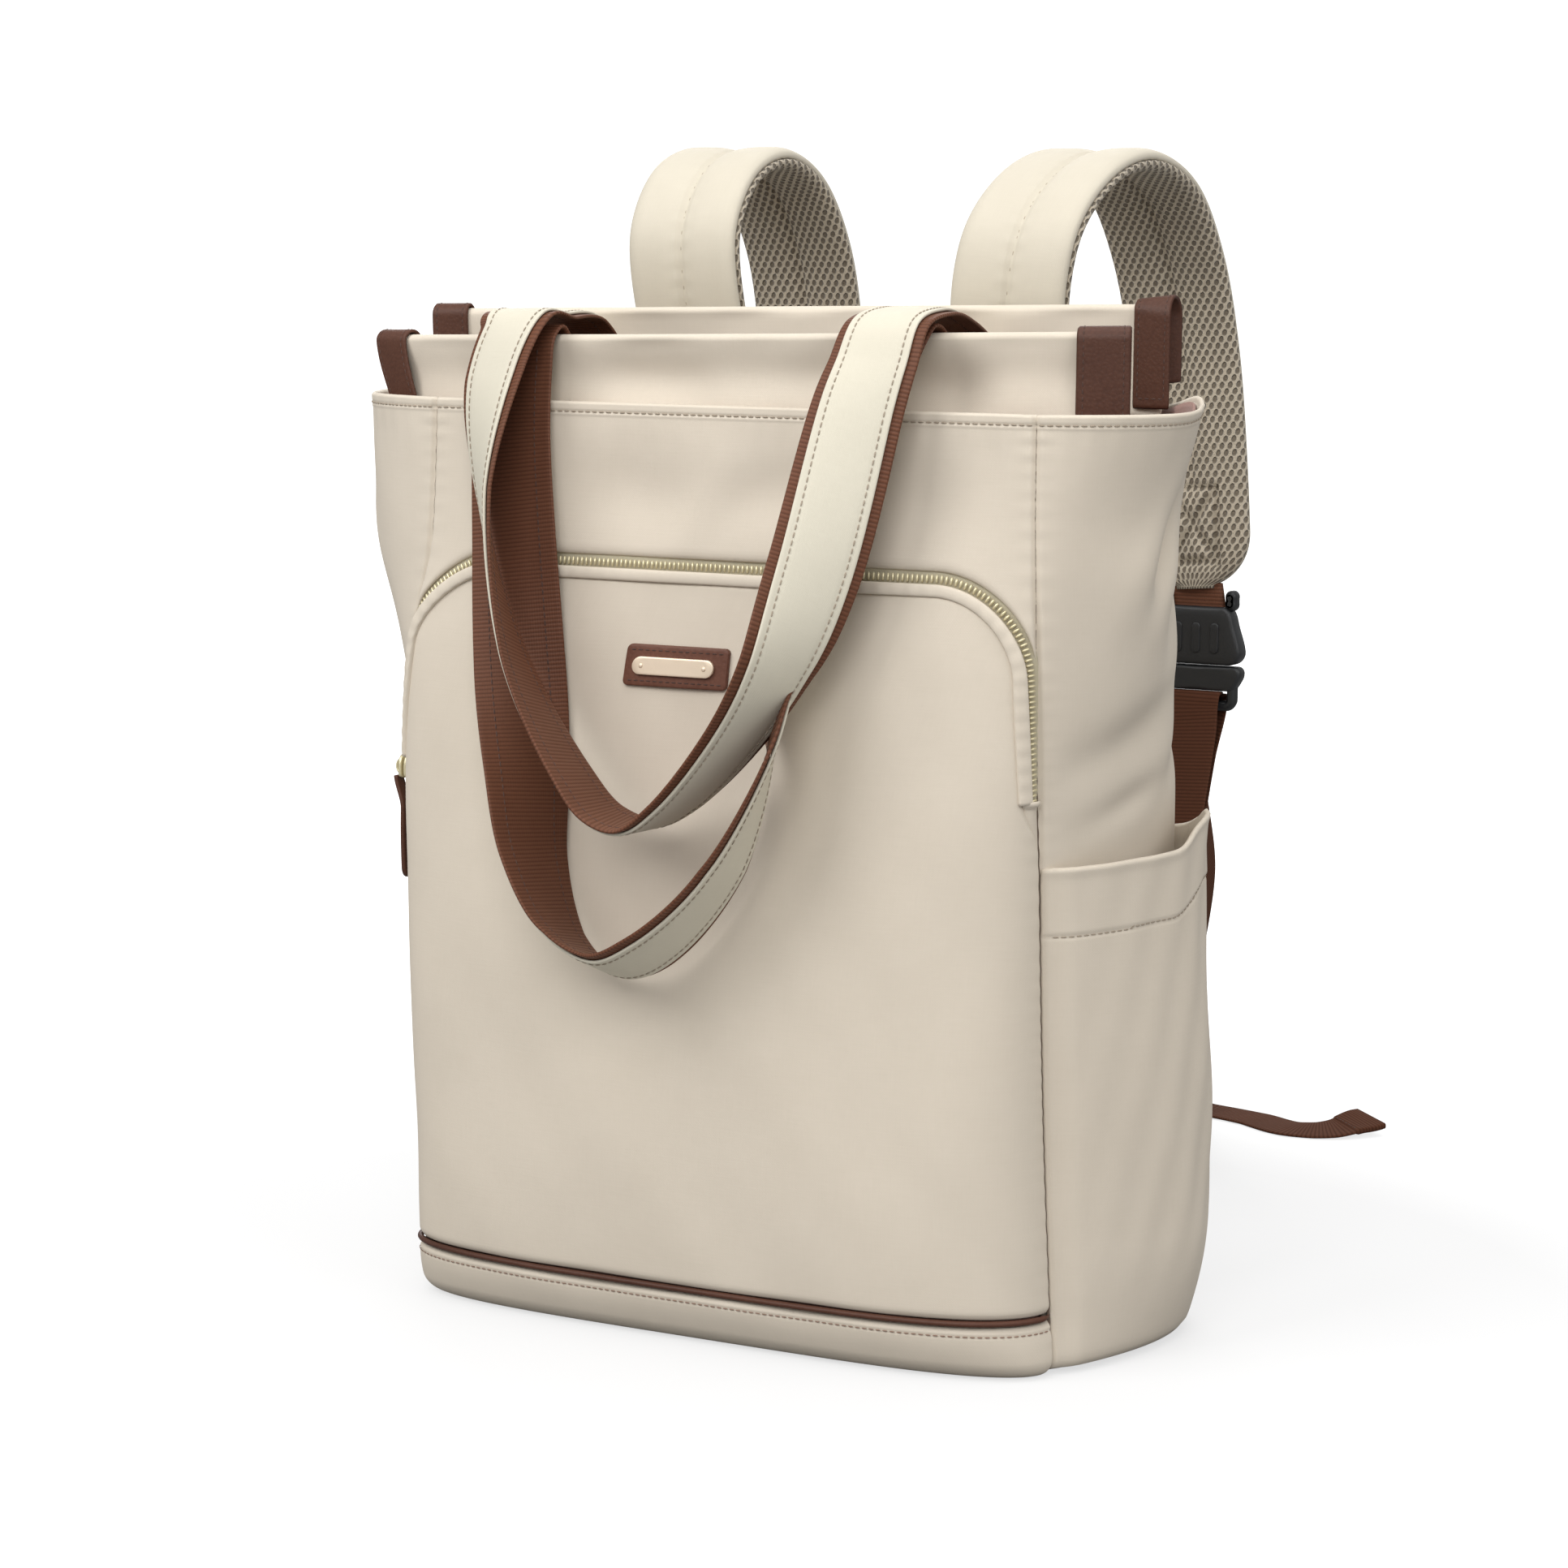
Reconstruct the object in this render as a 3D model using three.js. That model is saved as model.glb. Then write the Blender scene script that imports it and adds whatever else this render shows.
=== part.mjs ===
// Canvas laptop backpack that is also carried as a tote, in millimetres with +Z up.
// The front faces -Y. The origin is the middle of the base, on the floor.
import * as THREE from 'three';

const { lerp, smoothstep, degToRad } = THREE.MathUtils;
const vec = (x, y, z) => new THREE.Vector3(x, y, z);

// Driving dimensions
const rimHeight = 388;
const canvas = 2;                    // wall of doubled canvas
const seamGap = 0.4;                 // clear line left between neighbouring pieces
const floorGap = 0.3;
const cornerMitre = 1;               // how far the inner side of a wall stops short at a corner
const bandTop = 22.9;                // base band along the foot of the front
const board = { thick: 3, gap: 1, corner: 20, front: 18 };
const piping = { height: 25, radius: 1.7, proud: 0.2 };
const zip = { top: 327, corner: 42, end: 236, pleatEnd: 214, ease: 1.6, teeth: 3.4, sunk: 1.7,
  welt: 5, weltTall: 2, frame: 9.2, tabTall: 8, tabThick: 1.2 };
const slider = { inset: 3, drop: 6, tall: 10, wide: 7, thick: 4.5, proud: 0.5 };
const pull = { wide: 8, thick: 2, top: -4, middle: -28, foot: -48, proud: 6.4, bow: 0.4 };
const pocket = {
  foot: 3, top: 208, slope: 6, peakLift: 10, rearDrop: 13, gap: 0.8, bulge: 13, lowBulge: 5, peak: 1.35,
  round: 0.8, edge: 0.012, rise: [-45, 50], lowRange: [90, 215],
};
const lining = { thick: 1, rimGap: 0.4, slack: 5, hang: 45, foot: 6, top: 385.5, corner: 8 };
const closure = {
  cloth: 1.6, foldRadius: 3, foot: 366, rearFoot: 386, backDrop: 26, flapDrop: 14, flapGap: 1.2,
};
const tab = {
  wide: 14.5, leather: 1.5, gap: 0.7, overhang: 4, gape: 2.5, frontDrop: 10, rearLift: 1, backLift: 3,
};
const label = { wide: 47.5, tall: 17, thick: 1.8, plateWide: 37.5, plateTall: 7.4, plateThick: 1,
  x: -11, z: 283 };
const handle = { webbing: 38, facing: 30, webThick: 1.5, faceThick: 1.3, gap: 0.3,
  bareSteps: { front: 9, rear: 5 } };
const strap = { wide: 54, cover: 5, mesh: 5, gap: 0.3 };
const webbing = { wide: 25, thick: 1.4 };
const buckle = { wide: 43, neck: 34, thick: 10, socketTall: 27, prongTall: 21, slotTall: 5, slotDrop: 2,
  hang: 21 };

const colours = {
  canvas: { color: 0xd3c7b4, roughness: 0.85, metalness: 0 },
  leather: { color: 0x5a3a2d, roughness: 0.5, metalness: 0 },
  brownWebbing: { color: 0x50331f, roughness: 0.7, metalness: 0 },
  lining: { color: 0x8c665a, roughness: 0.8, metalness: 0 },
  mesh: { color: 0x978c7b, roughness: 0.95, metalness: 0 },
  zip: { color: 0xc3b27c, roughness: 0.4, metalness: 0.6 },
  plate: { color: 0xe6c9ad, roughness: 0.3, metalness: 0.8 },
  plastic: { color: 0x232426, roughness: 0.45, metalness: 0 },
};

const bag = new THREE.Group();

function add(name, geometry, colour) {
  const mesh = new THREE.Mesh(geometry, new THREE.MeshStandardMaterial(colours[colour]));
  mesh.name = name;
  bag.add(mesh);
  return mesh;
}

// Rows of a table with named columns, read at any value of the first column on a smooth curve.
function readTable(columns, rows) {
  const keys = columns.split(' ');
  const table = rows.map((row) => Object.fromEntries(keys.map((key, i) => [key, row[i]])));
  return (at) => {
    const first = keys[0];
    let i = table.findIndex((row, k) => k < table.length - 1 && at <= table[k + 1][first]);
    if (i < 0) i = table.length - 2;
    const pick = (k) => table[Math.min(Math.max(k, 0), table.length - 1)];
    const [before, low, high, after] = [pick(i - 1), pick(i), pick(i + 1), pick(i + 2)];
    const step = high[first] - low[first];
    const t = Math.min(Math.max((at - low[first]) / step, 0), 1);
    const read = (key) => {
      const slopeLow = step * (high[key] - before[key]) / Math.max(high[first] - before[first], 1e-6);
      const slopeHigh = step * (after[key] - low[key]) / Math.max(after[first] - low[first], 1e-6);
      const t2 = t * t;
      const t3 = t2 * t;
      return low[key] * (2 * t3 - 3 * t2 + 1) + slopeLow * (t3 - 2 * t2 + t)
        + high[key] * (3 * t2 - 2 * t3) + slopeHigh * (t3 - t2);
    };
    return Object.fromEntries(keys.map((key) => [key, key === first ? at : read(key)]));
  };
}

// Plan section of the body at each height. The front runs between the two front seams, each flank is a
// Bezier curve from its front seam by the fore and aft points to the rear seam, and the back closes it.
const sectionAt = readTable(
  'z front seamY seamR seamL foreY foreR foreL aftY aftR aftL rearX rearY back', [
    [0, -80, -50, 146, -152, -18, 156, -160, 48, 162, -162, 141, 72, 78],
    [25, -90, -49, 144, -153, -18, 157, -162, 48, 163, -163, 141, 72, 79],
    [110, -95, -53, 141, -153.5, -22, 160, -165, 46, 164, -165, 142, 70, 80],
    [210, -92, -61, 141, -155, -32, 163, -168, 40, 168, -169, 140, 65, 74],
    [285, -87, -71, 143, -149.5, -45, 176, -191.5, 29, 178, -191, 138, 59, 67],
    [322, -83, -75, 143, -140, -51, 184.5, -211.5, 23, 183.5, -204, 137, 55, 62],
    [350, -80, -76, 142.5, -137, -55, 186.5, -217, 19, 183.5, -209, 136, 53, 58],
    [388, -77.5, -77, 142.5, -135, -58, 203, -219.5, 15, 197.5, -209.5, 135, 50, 53],
  ]);

const frontSquare = { along: 4, deep: 3 };   // powers of the rounded front corners

// A line of plan points measured along its length: at(share) gives the point and the outward normal.
function measured(points) {
  const run = [0];
  for (let i = 1; i < points.length; i += 1) run.push(run[i - 1] + points[i].distanceTo(points[i - 1]));
  const length = run[run.length - 1];
  const at = (share) => {
    const want = Math.min(Math.max(share, 0), 1) * length;
    let i = run.findIndex((d) => d >= want);
    i = Math.max(i, 1);
    const t = (want - run[i - 1]) / (run[i] - run[i - 1]);
    const along = points[i].clone().sub(points[i - 1]).normalize();
    return { point: points[i - 1].clone().lerp(points[i], t), out: new THREE.Vector2(along.y, -along.x) };
  };
  return { length, at };
}

function steps(count, make) {
  return Array.from({ length: count + 1 }, (_, i) => make(i / count));
}

// The four faces, walked the same way round: front to the right, right flank to the rear,
// back to the left, left flank to the front.
const faceLine = {
  front: (s) => steps(200, (share) => {
    const t = Math.sin((share - 0.5) * Math.PI);
    const x = t < 0 ? -t * s.seamL : t * s.seamR;
    const depth = (1 - Math.abs(t) ** frontSquare.along) ** (1 / frontSquare.deep);
    return new THREE.Vector2(x, s.seamY + (s.front - s.seamY) * depth);
  }),
  right: (s) => new THREE.CubicBezierCurve(
    new THREE.Vector2(s.seamR, s.seamY), new THREE.Vector2(s.foreR, s.foreY),
    new THREE.Vector2(s.aftR, s.aftY), new THREE.Vector2(s.rearX, s.rearY)).getPoints(80),
  back: (s) => steps(80, (share) => {
    const t = 1 - 2 * share;
    return new THREE.Vector2(t * s.rearX, s.rearY + (s.back - s.rearY) * (1 - t ** 4));
  }),
  left: (s) => new THREE.CubicBezierCurve(
    new THREE.Vector2(-s.rearX, s.rearY), new THREE.Vector2(s.aftL, s.aftY),
    new THREE.Vector2(s.foreL, s.foreY), new THREE.Vector2(s.seamL, s.seamY)).getPoints(80),
};

const lineCache = new Map();

function lineAt(face, z) {
  const key = `${face} ${z.toFixed(3)}`;
  if (!lineCache.has(key)) lineCache.set(key, measured(faceLine[face](sectionAt(z))));
  return lineCache.get(key);
}

// Soft hollows pressed into the faces: centre, size and depth, leaning by tilt mm per mm of height.
const hollows = [
  { face: 'front', share: 0.68, z: 215, wide: 34, tall: 70, deep: 3.0, tilt: -0.35 },
  { face: 'front', share: 0.42, z: 120, wide: 46, tall: 36, deep: 2.0, tilt: 0.4 },
  { face: 'right', share: 0.72, z: 318, wide: 20, tall: 30, deep: 6.0, tilt: 0.5 },
  { face: 'right', share: 0.45, z: 258, wide: 34, tall: 16, deep: 3.0, tilt: 1.4 },
  { face: 'left', share: 0.28, z: 318, wide: 20, tall: 30, deep: 6.0, tilt: -0.5 },
  { face: 'left', share: 0.55, z: 258, wide: 34, tall: 16, deep: 3.0, tilt: -1.4 },
];

function hollowDepth(face, share, z, length) {
  return hollows.filter((h) => h.face === face).reduce((sum, h) => {
    const along = ((share - h.share) * length - h.tilt * (z - h.z)) / h.wide;
    const up = (z - h.z) / h.tall;
    return sum + h.deep * Math.exp(-along * along - up * up);
  }, 0);
}

// Point of the body at a share of a face's length and a height, moved out by some millimetres.
function bodyPoint(face, share, z, out = 0) {
  const line = lineAt(face, z);
  const { point, out: normal } = line.at(share);
  const move = out - hollowDepth(face, share, z, line.length);
  return vec(point.x + normal.x * move, point.y + normal.y * move, z);
}

function outwardAt(face, share, z) {
  const { out } = lineAt(face, z).at(share);
  return vec(out.x, out.y, 0);
}

// Closed solid from its corner points and triangles, turned the right way out.
function solid(points, triangles) {
  const corner = [vec(0, 0, 0), vec(0, 0, 0), vec(0, 0, 0)];
  const volume = triangles.reduce((sum, tri) => {
    tri.forEach((p, k) => corner[k].copy(points[p]));
    return sum + corner[0].dot(corner[1].cross(corner[2]));
  }, 0);
  const index = triangles.flatMap(([a, b, c]) => (volume > 0 ? [a, b, c] : [a, c, b]));
  const geometry = new THREE.BufferGeometry();
  geometry.setAttribute('position', new THREE.Float32BufferAttribute(points.flatMap((p) => p.toArray()), 3));
  geometry.setIndex(index);
  geometry.computeVertexNormals();
  return geometry;
}

// Sheet solid between two grids of points of the same layout, closed round its edge.
function between(outer, inner, ring = false) {
  const rows = outer.length;
  const cols = outer[0].length;
  const points = [...outer.flat(), ...inner.flat()];
  const triangles = [];
  const id = (side, r, c) => side * rows * cols + r * cols + (c % cols);
  const quad = (a, b, c, d) => triangles.push([a, b, c], [a, c, d]);
  const lastCol = ring ? cols : cols - 1;
  for (let r = 0; r < rows - 1; r += 1) {
    for (let c = 0; c < lastCol; c += 1) {
      quad(id(0, r, c), id(0, r, c + 1), id(0, r + 1, c + 1), id(0, r + 1, c));
      quad(id(1, r, c), id(1, r + 1, c), id(1, r + 1, c + 1), id(1, r, c + 1));
    }
  }
  for (let c = 0; c < lastCol; c += 1) {
    quad(id(0, 0, c), id(1, 0, c), id(1, 0, c + 1), id(0, 0, c + 1));
    quad(id(0, rows - 1, c), id(0, rows - 1, c + 1), id(1, rows - 1, c + 1), id(1, rows - 1, c));
  }
  if (!ring) {
    for (let r = 0; r < rows - 1; r += 1) {
      quad(id(0, r, 0), id(0, r + 1, 0), id(1, r + 1, 0), id(1, r, 0));
      quad(id(0, r, cols - 1), id(1, r, cols - 1), id(1, r + 1, cols - 1), id(0, r + 1, cols - 1));
    }
  }
  return solid(points, triangles);
}

// Wall on a face of the body. grid holds rows of [share, z]; out is where its outer side lies, and
// mitre draws the ends of its inner side in, where two walls meet at a corner.
function wall(face, grid, thick, out = () => 0, mitre = 0) {
  const side = (depth, draw) => grid.map((row) => row.map(([share, z]) => {
    const end = draw / lineAt(face, z).length;
    return bodyPoint(face, lerp(end, 1 - end, share), z, out(share, z) - depth);
  }));
  return between(side(0, 0), side(thick, mitre));
}

// Grid of a plain wall from height to height, kept clear of its end seams.
function plainGrid(face, heights, count) {
  return heights.map((z) => {
    const edge = seamGap / 2 / lineAt(face, z).length;
    return steps(count, (share) => [lerp(edge, 1 - edge, share), z]);
  });
}

// Solid swept along frames { at, across, out }: each profile point is [across, out] millimetres. Both broad
// sides are split along the same diagonals, so that they stay apart where a thin strip twists.
function sweep(frames, profile) {
  const points = frames.flatMap((f) => profile.map(
    ([a, n]) => f.at.clone().addScaledVector(f.across, a).addScaledVector(f.out, n)));
  const count = profile.length;
  const triangles = [];
  for (let i = 0; i < frames.length - 1; i += 1) {
    for (let k = 0; k < count; k += 1) {
      const a = i * count + k;
      const b = i * count + ((k + 1) % count);
      const backward = profile[(k + 1) % count][0] < profile[k][0];
      if (backward) triangles.push([a, b, a + count], [b, b + count, a + count]);
      else triangles.push([a, b, b + count], [a, b + count, a + count]);
    }
  }
  const end = (frames.length - 1) * count;
  const close = (a, b, c) => triangles.push([a, c, b], [end + a, end + b, end + c]);
  let low = 0;
  let high = count - 1;
  while (high - low > 1) {
    close(low, low + 1, high);
    low += 1;
    if (high - low > 1) close(low, high - 1, high);
    high -= 1;
  }
  return solid(points, triangles);
}

const flatProfile = (wide, low, high) => [
  [-wide / 2, low], [wide / 2, low], [wide / 2, high], [-wide / 2, high]];

// Half-round profile with a flat underside, and a padded one with rounded edges.
const domeProfile = (wide, tall) => [
  [-wide / 2, 0], [wide / 2, 0], [wide / 2, tall * 0.45], [wide * 0.3, tall * 0.9],
  [0, tall], [-wide * 0.3, tall * 0.9], [-wide / 2, tall * 0.45]];
const padProfile = (wide, low, high) => {
  const soft = Math.abs(high - low) * 0.45;
  const waist = lerp(low, high, 0.45);
  return [[-wide / 2 + soft, low], [wide / 2 - soft, low], [wide / 2, waist],
    [wide / 2 - soft, high], [-wide / 2 + soft, high], [-wide / 2, waist]];
};

// Frames along points on the front of the body, given as [distance from the seam, z] with the seam's side.
function frontFrames(path, out) {
  const place = ([fromSeam, z, side]) => {
    const share = fromSeam / lineAt('front', z).length;
    return [side > 0 ? 1 - share : share, z];
  };
  const spots = path.map(place);
  const at = spots.map(([share, z]) => bodyPoint('front', share, z, out));
  return at.map((p, i) => {
    const along = at[Math.min(i + 1, at.length - 1)].clone().sub(at[Math.max(i - 1, 0)]).normalize();
    const normal = outwardAt('front', ...spots[i]);
    const across = normal.clone().cross(along).normalize();
    return { at: p, across, out: along.clone().cross(across).normalize() };
  });
}

// Arch that follows the zip at some distance inside its outer edge, from the right end round to the left.
function archPath(inset, legSteps, cornerSteps, topSteps) {
  const radius = zip.corner - inset;
  const half = (side) => {
    const leg = steps(legSteps, (t) => [inset, lerp(zip.end, zip.top - zip.corner, t), side]);
    const corner = steps(cornerSteps, (t) => {
      const turn = t * Math.PI / 2;
      return [zip.corner - radius * Math.cos(turn), zip.top - zip.corner + radius * Math.sin(turn), side];
    });
    return [...leg.slice(0, -1), ...corner];
  };
  const width = lineAt('front', zip.top - inset).length - 2 * zip.corner;
  const top = steps(topSteps, (t) => [zip.corner + t * width, zip.top - inset, 1]).slice(1, -1);
  return [...half(1), ...top, ...half(-1).reverse()];
}

function makeFront() {
  const band = [0, 10, bandTop];
  add('base_band', wall('front', plainGrid('front', band, board.front), canvas), 'canvas');

  const round = steps(6, (t) => {
    const turn = (t * 2 - 1 / 6) * Math.PI;
    return [piping.radius * Math.cos(turn), piping.radius * Math.sin(turn)];
  }).slice(0, 6);
  const length = lineAt('front', piping.height).length;
  const pipe = steps(20, (t) => [lerp(0.5, length - 0.5, t), piping.height, -1]);
  add('base_piping', sweep(frontFrames(pipe, piping.proud), round), 'leather');

  // The pocket panel narrows above the pleat to leave room for the zip, and ends in round shoulders.
  const shoulder = zip.corner - zip.frame;
  const shoulderFoot = zip.top - zip.frame - shoulder;
  const low = [piping.height + piping.radius + seamGap, 50, 85, 120, 155, 190, zip.pleatEnd];
  const rows = low.map((z) => ({ z, inset: seamGap }));
  [zip.end, 262].forEach((z) => rows.push({ z, inset: zip.frame }));
  [0, 25, 48, 68, 90].forEach((angle) => {
    const turn = degToRad(angle);
    rows.push({
      z: shoulderFoot + shoulder * Math.sin(turn),
      inset: zip.frame + shoulder * (1 - Math.cos(turn)),
    });
  });
  const pocketGrid = rows.map(({ z, inset }) => {
    const edge = inset / lineAt('front', z).length;
    return steps(14, (share) => [lerp(edge, 1 - edge, share), z]);
  });
  add('front_pocket_panel', wall('front', pocketGrid, canvas), 'canvas');

  // The yoke hangs from the rim to the arch of the zip.
  const corner = [0, 22, 42, 60, 76, 90].map((angle) => {
    const turn = degToRad(angle);
    const z = zip.top - zip.corner + zip.corner * Math.sin(turn);
    const fromSeam = seamGap / 2 + zip.corner * (1 - Math.cos(turn));
    return [fromSeam / lineAt('front', z).length, z];
  });
  const right = corner.map(([share, z]) => [1 - share, z]).reverse();
  const flat = steps(8, (t) => [lerp(corner[5][0], right[0][0], t), zip.top]).slice(1, -1);
  const arch = [...corner, ...flat, ...right];
  const yokeGrid = steps(5, (t) => arch.map(([share, z]) => [share, lerp(z, rimHeight, t)]));
  add('front_yoke', wall('front', yokeGrid, canvas), 'canvas');

  const teeth = archPath(zip.ease + zip.teeth / 2, 3, 6, 10);
  add('front_zip', sweep(frontFrames(teeth, -zip.sunk), flatProfile(zip.teeth, 0, canvas)), 'zip');
  // The welt is rolled over the edge of the pocket panel, beside the teeth.
  const weltInset = zip.ease + zip.teeth + seamGap + zip.welt / 2;
  const welt = archPath(weltInset, 3, 6, 10);
  add('pocket_welt', sweep(frontFrames(welt, seamGap), domeProfile(zip.welt, zip.weltTall)), 'canvas');

  // Fabric tab that closes the right end of the zip, over the pleat.
  const tabTop = zip.end - seamGap;
  const tabGrid = [tabTop - zip.tabTall, tabTop].map((z) => {
    const room = lineAt('front', z).length;
    return steps(3, (t) => [1 - lerp(zip.frame, zip.ease, t) / room, z]);
  });
  add('zip_end_tab', wall('front', tabGrid, zip.tabThick, () => canvas + seamGap), 'canvas');
}

function makeFlanks() {
  const heights = [0, 30, 110, 180, 225, 258, 288, 318, 350, rimHeight];
  const count = 10;
  for (const side of ['left', 'right']) {
    const panel = wall(side, plainGrid(side, heights, count), canvas, () => 0, cornerMitre);
    add(`${side}_side_panel`, panel, 'canvas');
    const fromFront = (share) => (side === 'right' ? share : 1 - share);
    // The lip climbs to a soft peak towards the rear and falls again to the rear seam.
    const topAt = (share) => {
      const t = fromFront(share);
      return pocket.top + pocket.slope * t + pocket.peakLift * smoothstep(t, 0.45, 0.72)
        - pocket.rearDrop * smoothstep(t, 0.74, 1);
    };
    // The pouch swells towards the rear, most near its foot.
    const swell = (share, z) => {
      const round = Math.sin(Math.PI * fromFront(share) ** pocket.peak) ** pocket.round;
      const full = pocket.bulge + pocket.lowBulge * (1 - smoothstep(z, ...pocket.lowRange));
      return pocket.gap + canvas + full * round * smoothstep(z, ...pocket.rise);
    };
    const pouch = steps(8, (v) => steps(count, (t) => {
      const share = lerp(pocket.edge, 1 - pocket.edge, t);
      return [share, lerp(pocket.foot, topAt(share), v)];
    }));
    add(`${side}_side_pocket`, wall(side, pouch, canvas, swell), 'canvas');
  }
}

function makeBack() {
  const heights = [0, 40, 90, 140, 190, 240, 290, 335, 365, rimHeight];
  const panel = wall('back', plainGrid('back', heights, 8), canvas, () => 0, cornerMitre);
  add('back_panel', panel, 'canvas');

  const ring = innerRing(0, canvas + board.gap, board.front, board.corner);
  const shape = new THREE.Shape(ring.map((p) => new THREE.Vector2(p.x, p.y)));
  const plate = new THREE.ExtrudeGeometry(shape, { depth: board.thick, bevelEnabled: false });
  add('bottom_panel', plate, 'canvas');
}

// Closed line inside all four faces at a height, some millimetres in from their outer sides. It cuts
// across the corners, clear of the seams.
function innerRing(z, inset, front, frontCorner) {
  const around = { front, right: 10, back: 4, left: 10 };
  return Object.entries(around).flatMap(([face, count]) => {
    const corner = (face === 'front' ? frontCorner : lining.corner) / lineAt(face, z).length;
    return steps(count, (t) => {
      const share = Math.min(Math.max(t, corner), 1 - corner);
      return bodyPoint(face, share, z, -inset);
    });
  });
}

// Lining hung from the rim inside all four faces, with some slack below it.
function makeLining() {
  const heights = [lining.foot, 150, 265, 318, 350, 372, lining.top];
  const ring = (z, depth) => {
    const slack = smoothstep(rimHeight - z, 0, lining.hang) * lining.slack;
    return innerRing(z, canvas + lining.rimGap + slack + depth, 10, lining.corner);
  };
  const outer = heights.map((z) => ring(z, 0));
  const inner = heights.map((z) => ring(z, lining.thick));
  add('lining', between(outer, inner, true), 'lining');
}

// Standing panels of the top closure: ends of the front side in plan, bow of its middle, height of the
// fold at both ends, and how far the left end leans out at the top.
const panels = {
  front: {
    left: [-163.5, -54], right: [164, -48], bow: -21, power: 3, topLeft: 414, topRight: 421, lean: -11,
  },
  rear: {
    left: [-166, -18], right: [148.5, 30.5], bow: 2, power: 2, topLeft: 425, topRight: 431, lean: -3,
  },
};

function panelSpot(panel, share) {
  const straight = new THREE.Vector2(...panel.left).lerp(new THREE.Vector2(...panel.right), share);
  straight.y += panel.bow * (1 - Math.abs(share * 2 - 1) ** panel.power);
  return straight;
}

// Point on a panel: share of its length, distance back from the front side, and height.
function panelPoint(panel, share, back, z) {
  const here = panelSpot(panel, share);
  const ahead = panelSpot(panel, share + 0.01).sub(panelSpot(panel, share - 0.01)).normalize();
  const rise = smoothstep(z, rimHeight - 20, panel.topLeft);
  const lean = share < 0.5 ? panel.lean * (1 - 2 * share) ** 2 * rise : 0;
  return vec(here.x - ahead.y * back + lean, here.y + ahead.x * back, z);
}

// Cross-section of a folded panel, grown by some millimetres: up the front, over the fold, down the back.
function foldProfile(top, foot, backFoot, radius, grow) {
  const r = radius + grow;
  const over = steps(5, (t) => {
    const turn = Math.PI * (1 - t);
    return [radius + r * Math.cos(turn), top - radius + r * Math.sin(turn)];
  });
  return [[-grow, foot], ...over, [2 * radius + grow, backFoot]];
}

function makeClosure() {
  for (const name of ['front', 'rear']) {
    const panel = panels[name];
    const topAt = (share) => lerp(panel.topLeft, panel.topRight, share);
    const sheet = (grow) => steps(14, (share) => {
      const top = topAt(share);
      const foot = name === 'front' ? closure.foot : closure.rearFoot;
      const profile = foldProfile(top, foot, top - closure.backDrop, closure.foldRadius, -grow);
      const row = profile.map(([back, z]) => panelPoint(panel, share, back, z));
      if (name === 'rear') {
        // The rear panel runs on as a flap, sewn inside the back below the rim.
        const seamZ = rimHeight - closure.flapDrop;
        const wallShare = lerp(0.97, 0.03, share);
        const inside = canvas + lining.rimGap + lining.slack + lining.thick + closure.flapGap;
        const sewn = bodyPoint('back', wallShare, seamZ, -inside);
        const fall = closure.rearFoot - seamZ;
        const hang = row[row.length - 1].clone().lerp(sewn, 0.3).setZ(seamZ + fall - grow);
        const half = hang.clone().lerp(sewn, 0.5).setZ(seamZ + fall / 2 - grow);
        row.push(hang, half, sewn.setZ(seamZ - grow));
      }
      return row;
    });
    add(`${name}_top_panel`, between(sheet(0), sheet(closure.cloth)), 'canvas');

    for (const side of ['left', 'right']) {
      const gape = name === 'rear' && side === 'right' ? tab.gape : 0;
      const length = panel.right[0] - panel.left[0];
      const ends = side === 'left' ? [-tab.overhang / length, tab.wide / length]
        : [1 - tab.wide / length, 1 + (tab.overhang + gape) / length];
      const leather = (grow) => steps(2, (t) => {
        const share = lerp(ends[0], ends[1], t);
        const open = gape * (side === 'right' ? t : 1 - t);
        const top = topAt(share) + open * 0.4;
        const foot = rimHeight + (name === 'front' ? -tab.frontDrop : tab.rearLift);
        const backFoot = top - closure.backDrop + tab.backLift;
        const profile = foldProfile(top, foot, backFoot, closure.foldRadius + open, grow);
        return profile.map(([back, z]) => panelPoint(panel, share, back - open * 0.5, z));
      });
      add(`${name}_${side}_tab`, between(leather(tab.gap + tab.leather), leather(tab.gap)), 'leather');
    }
  }
}

// Leather patch and bare plate, laid on the pocket panel.
function makeLabel() {
  const line = lineAt('front', label.z);
  const middle = 0.5 + (label.x - line.at(0.5).point.x) / line.length;
  const patch = steps(2, (v) => steps(4, (u) => [
    middle + (u - 0.5) * label.wide / line.length, label.z + (v - 0.5) * label.tall]));
  const patchOut = () => label.thick + seamGap;
  add('label_patch', wall('front', patch, label.thick, patchOut), 'leather');
  const plate = steps(4, (v) => {
    const height = (v - 0.5) * label.plateTall;
    const round = label.plateTall / 2 - Math.sqrt(Math.max((label.plateTall / 2) ** 2 - height ** 2, 0.6));
    const half = label.plateWide / 2 - round;
    return steps(4, (u) => [middle + (u * 2 - 1) * half / line.length, label.z + height]);
  });
  const plateOut = () => patchOut() + seamGap + label.plateThick;
  add('label_plate', wall('front', plate, label.plateThick, plateOut), 'plate');
}

// Shares of a length, cut into stretches [where the stretch ends, its steps].
function stretches(parts) {
  const ends = [0, ...parts.map(([end]) => end)];
  return [0, ...parts.flatMap(([end, count], i) => steps(count, (t) => lerp(ends[i], end, t)).slice(1))];
}

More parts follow.
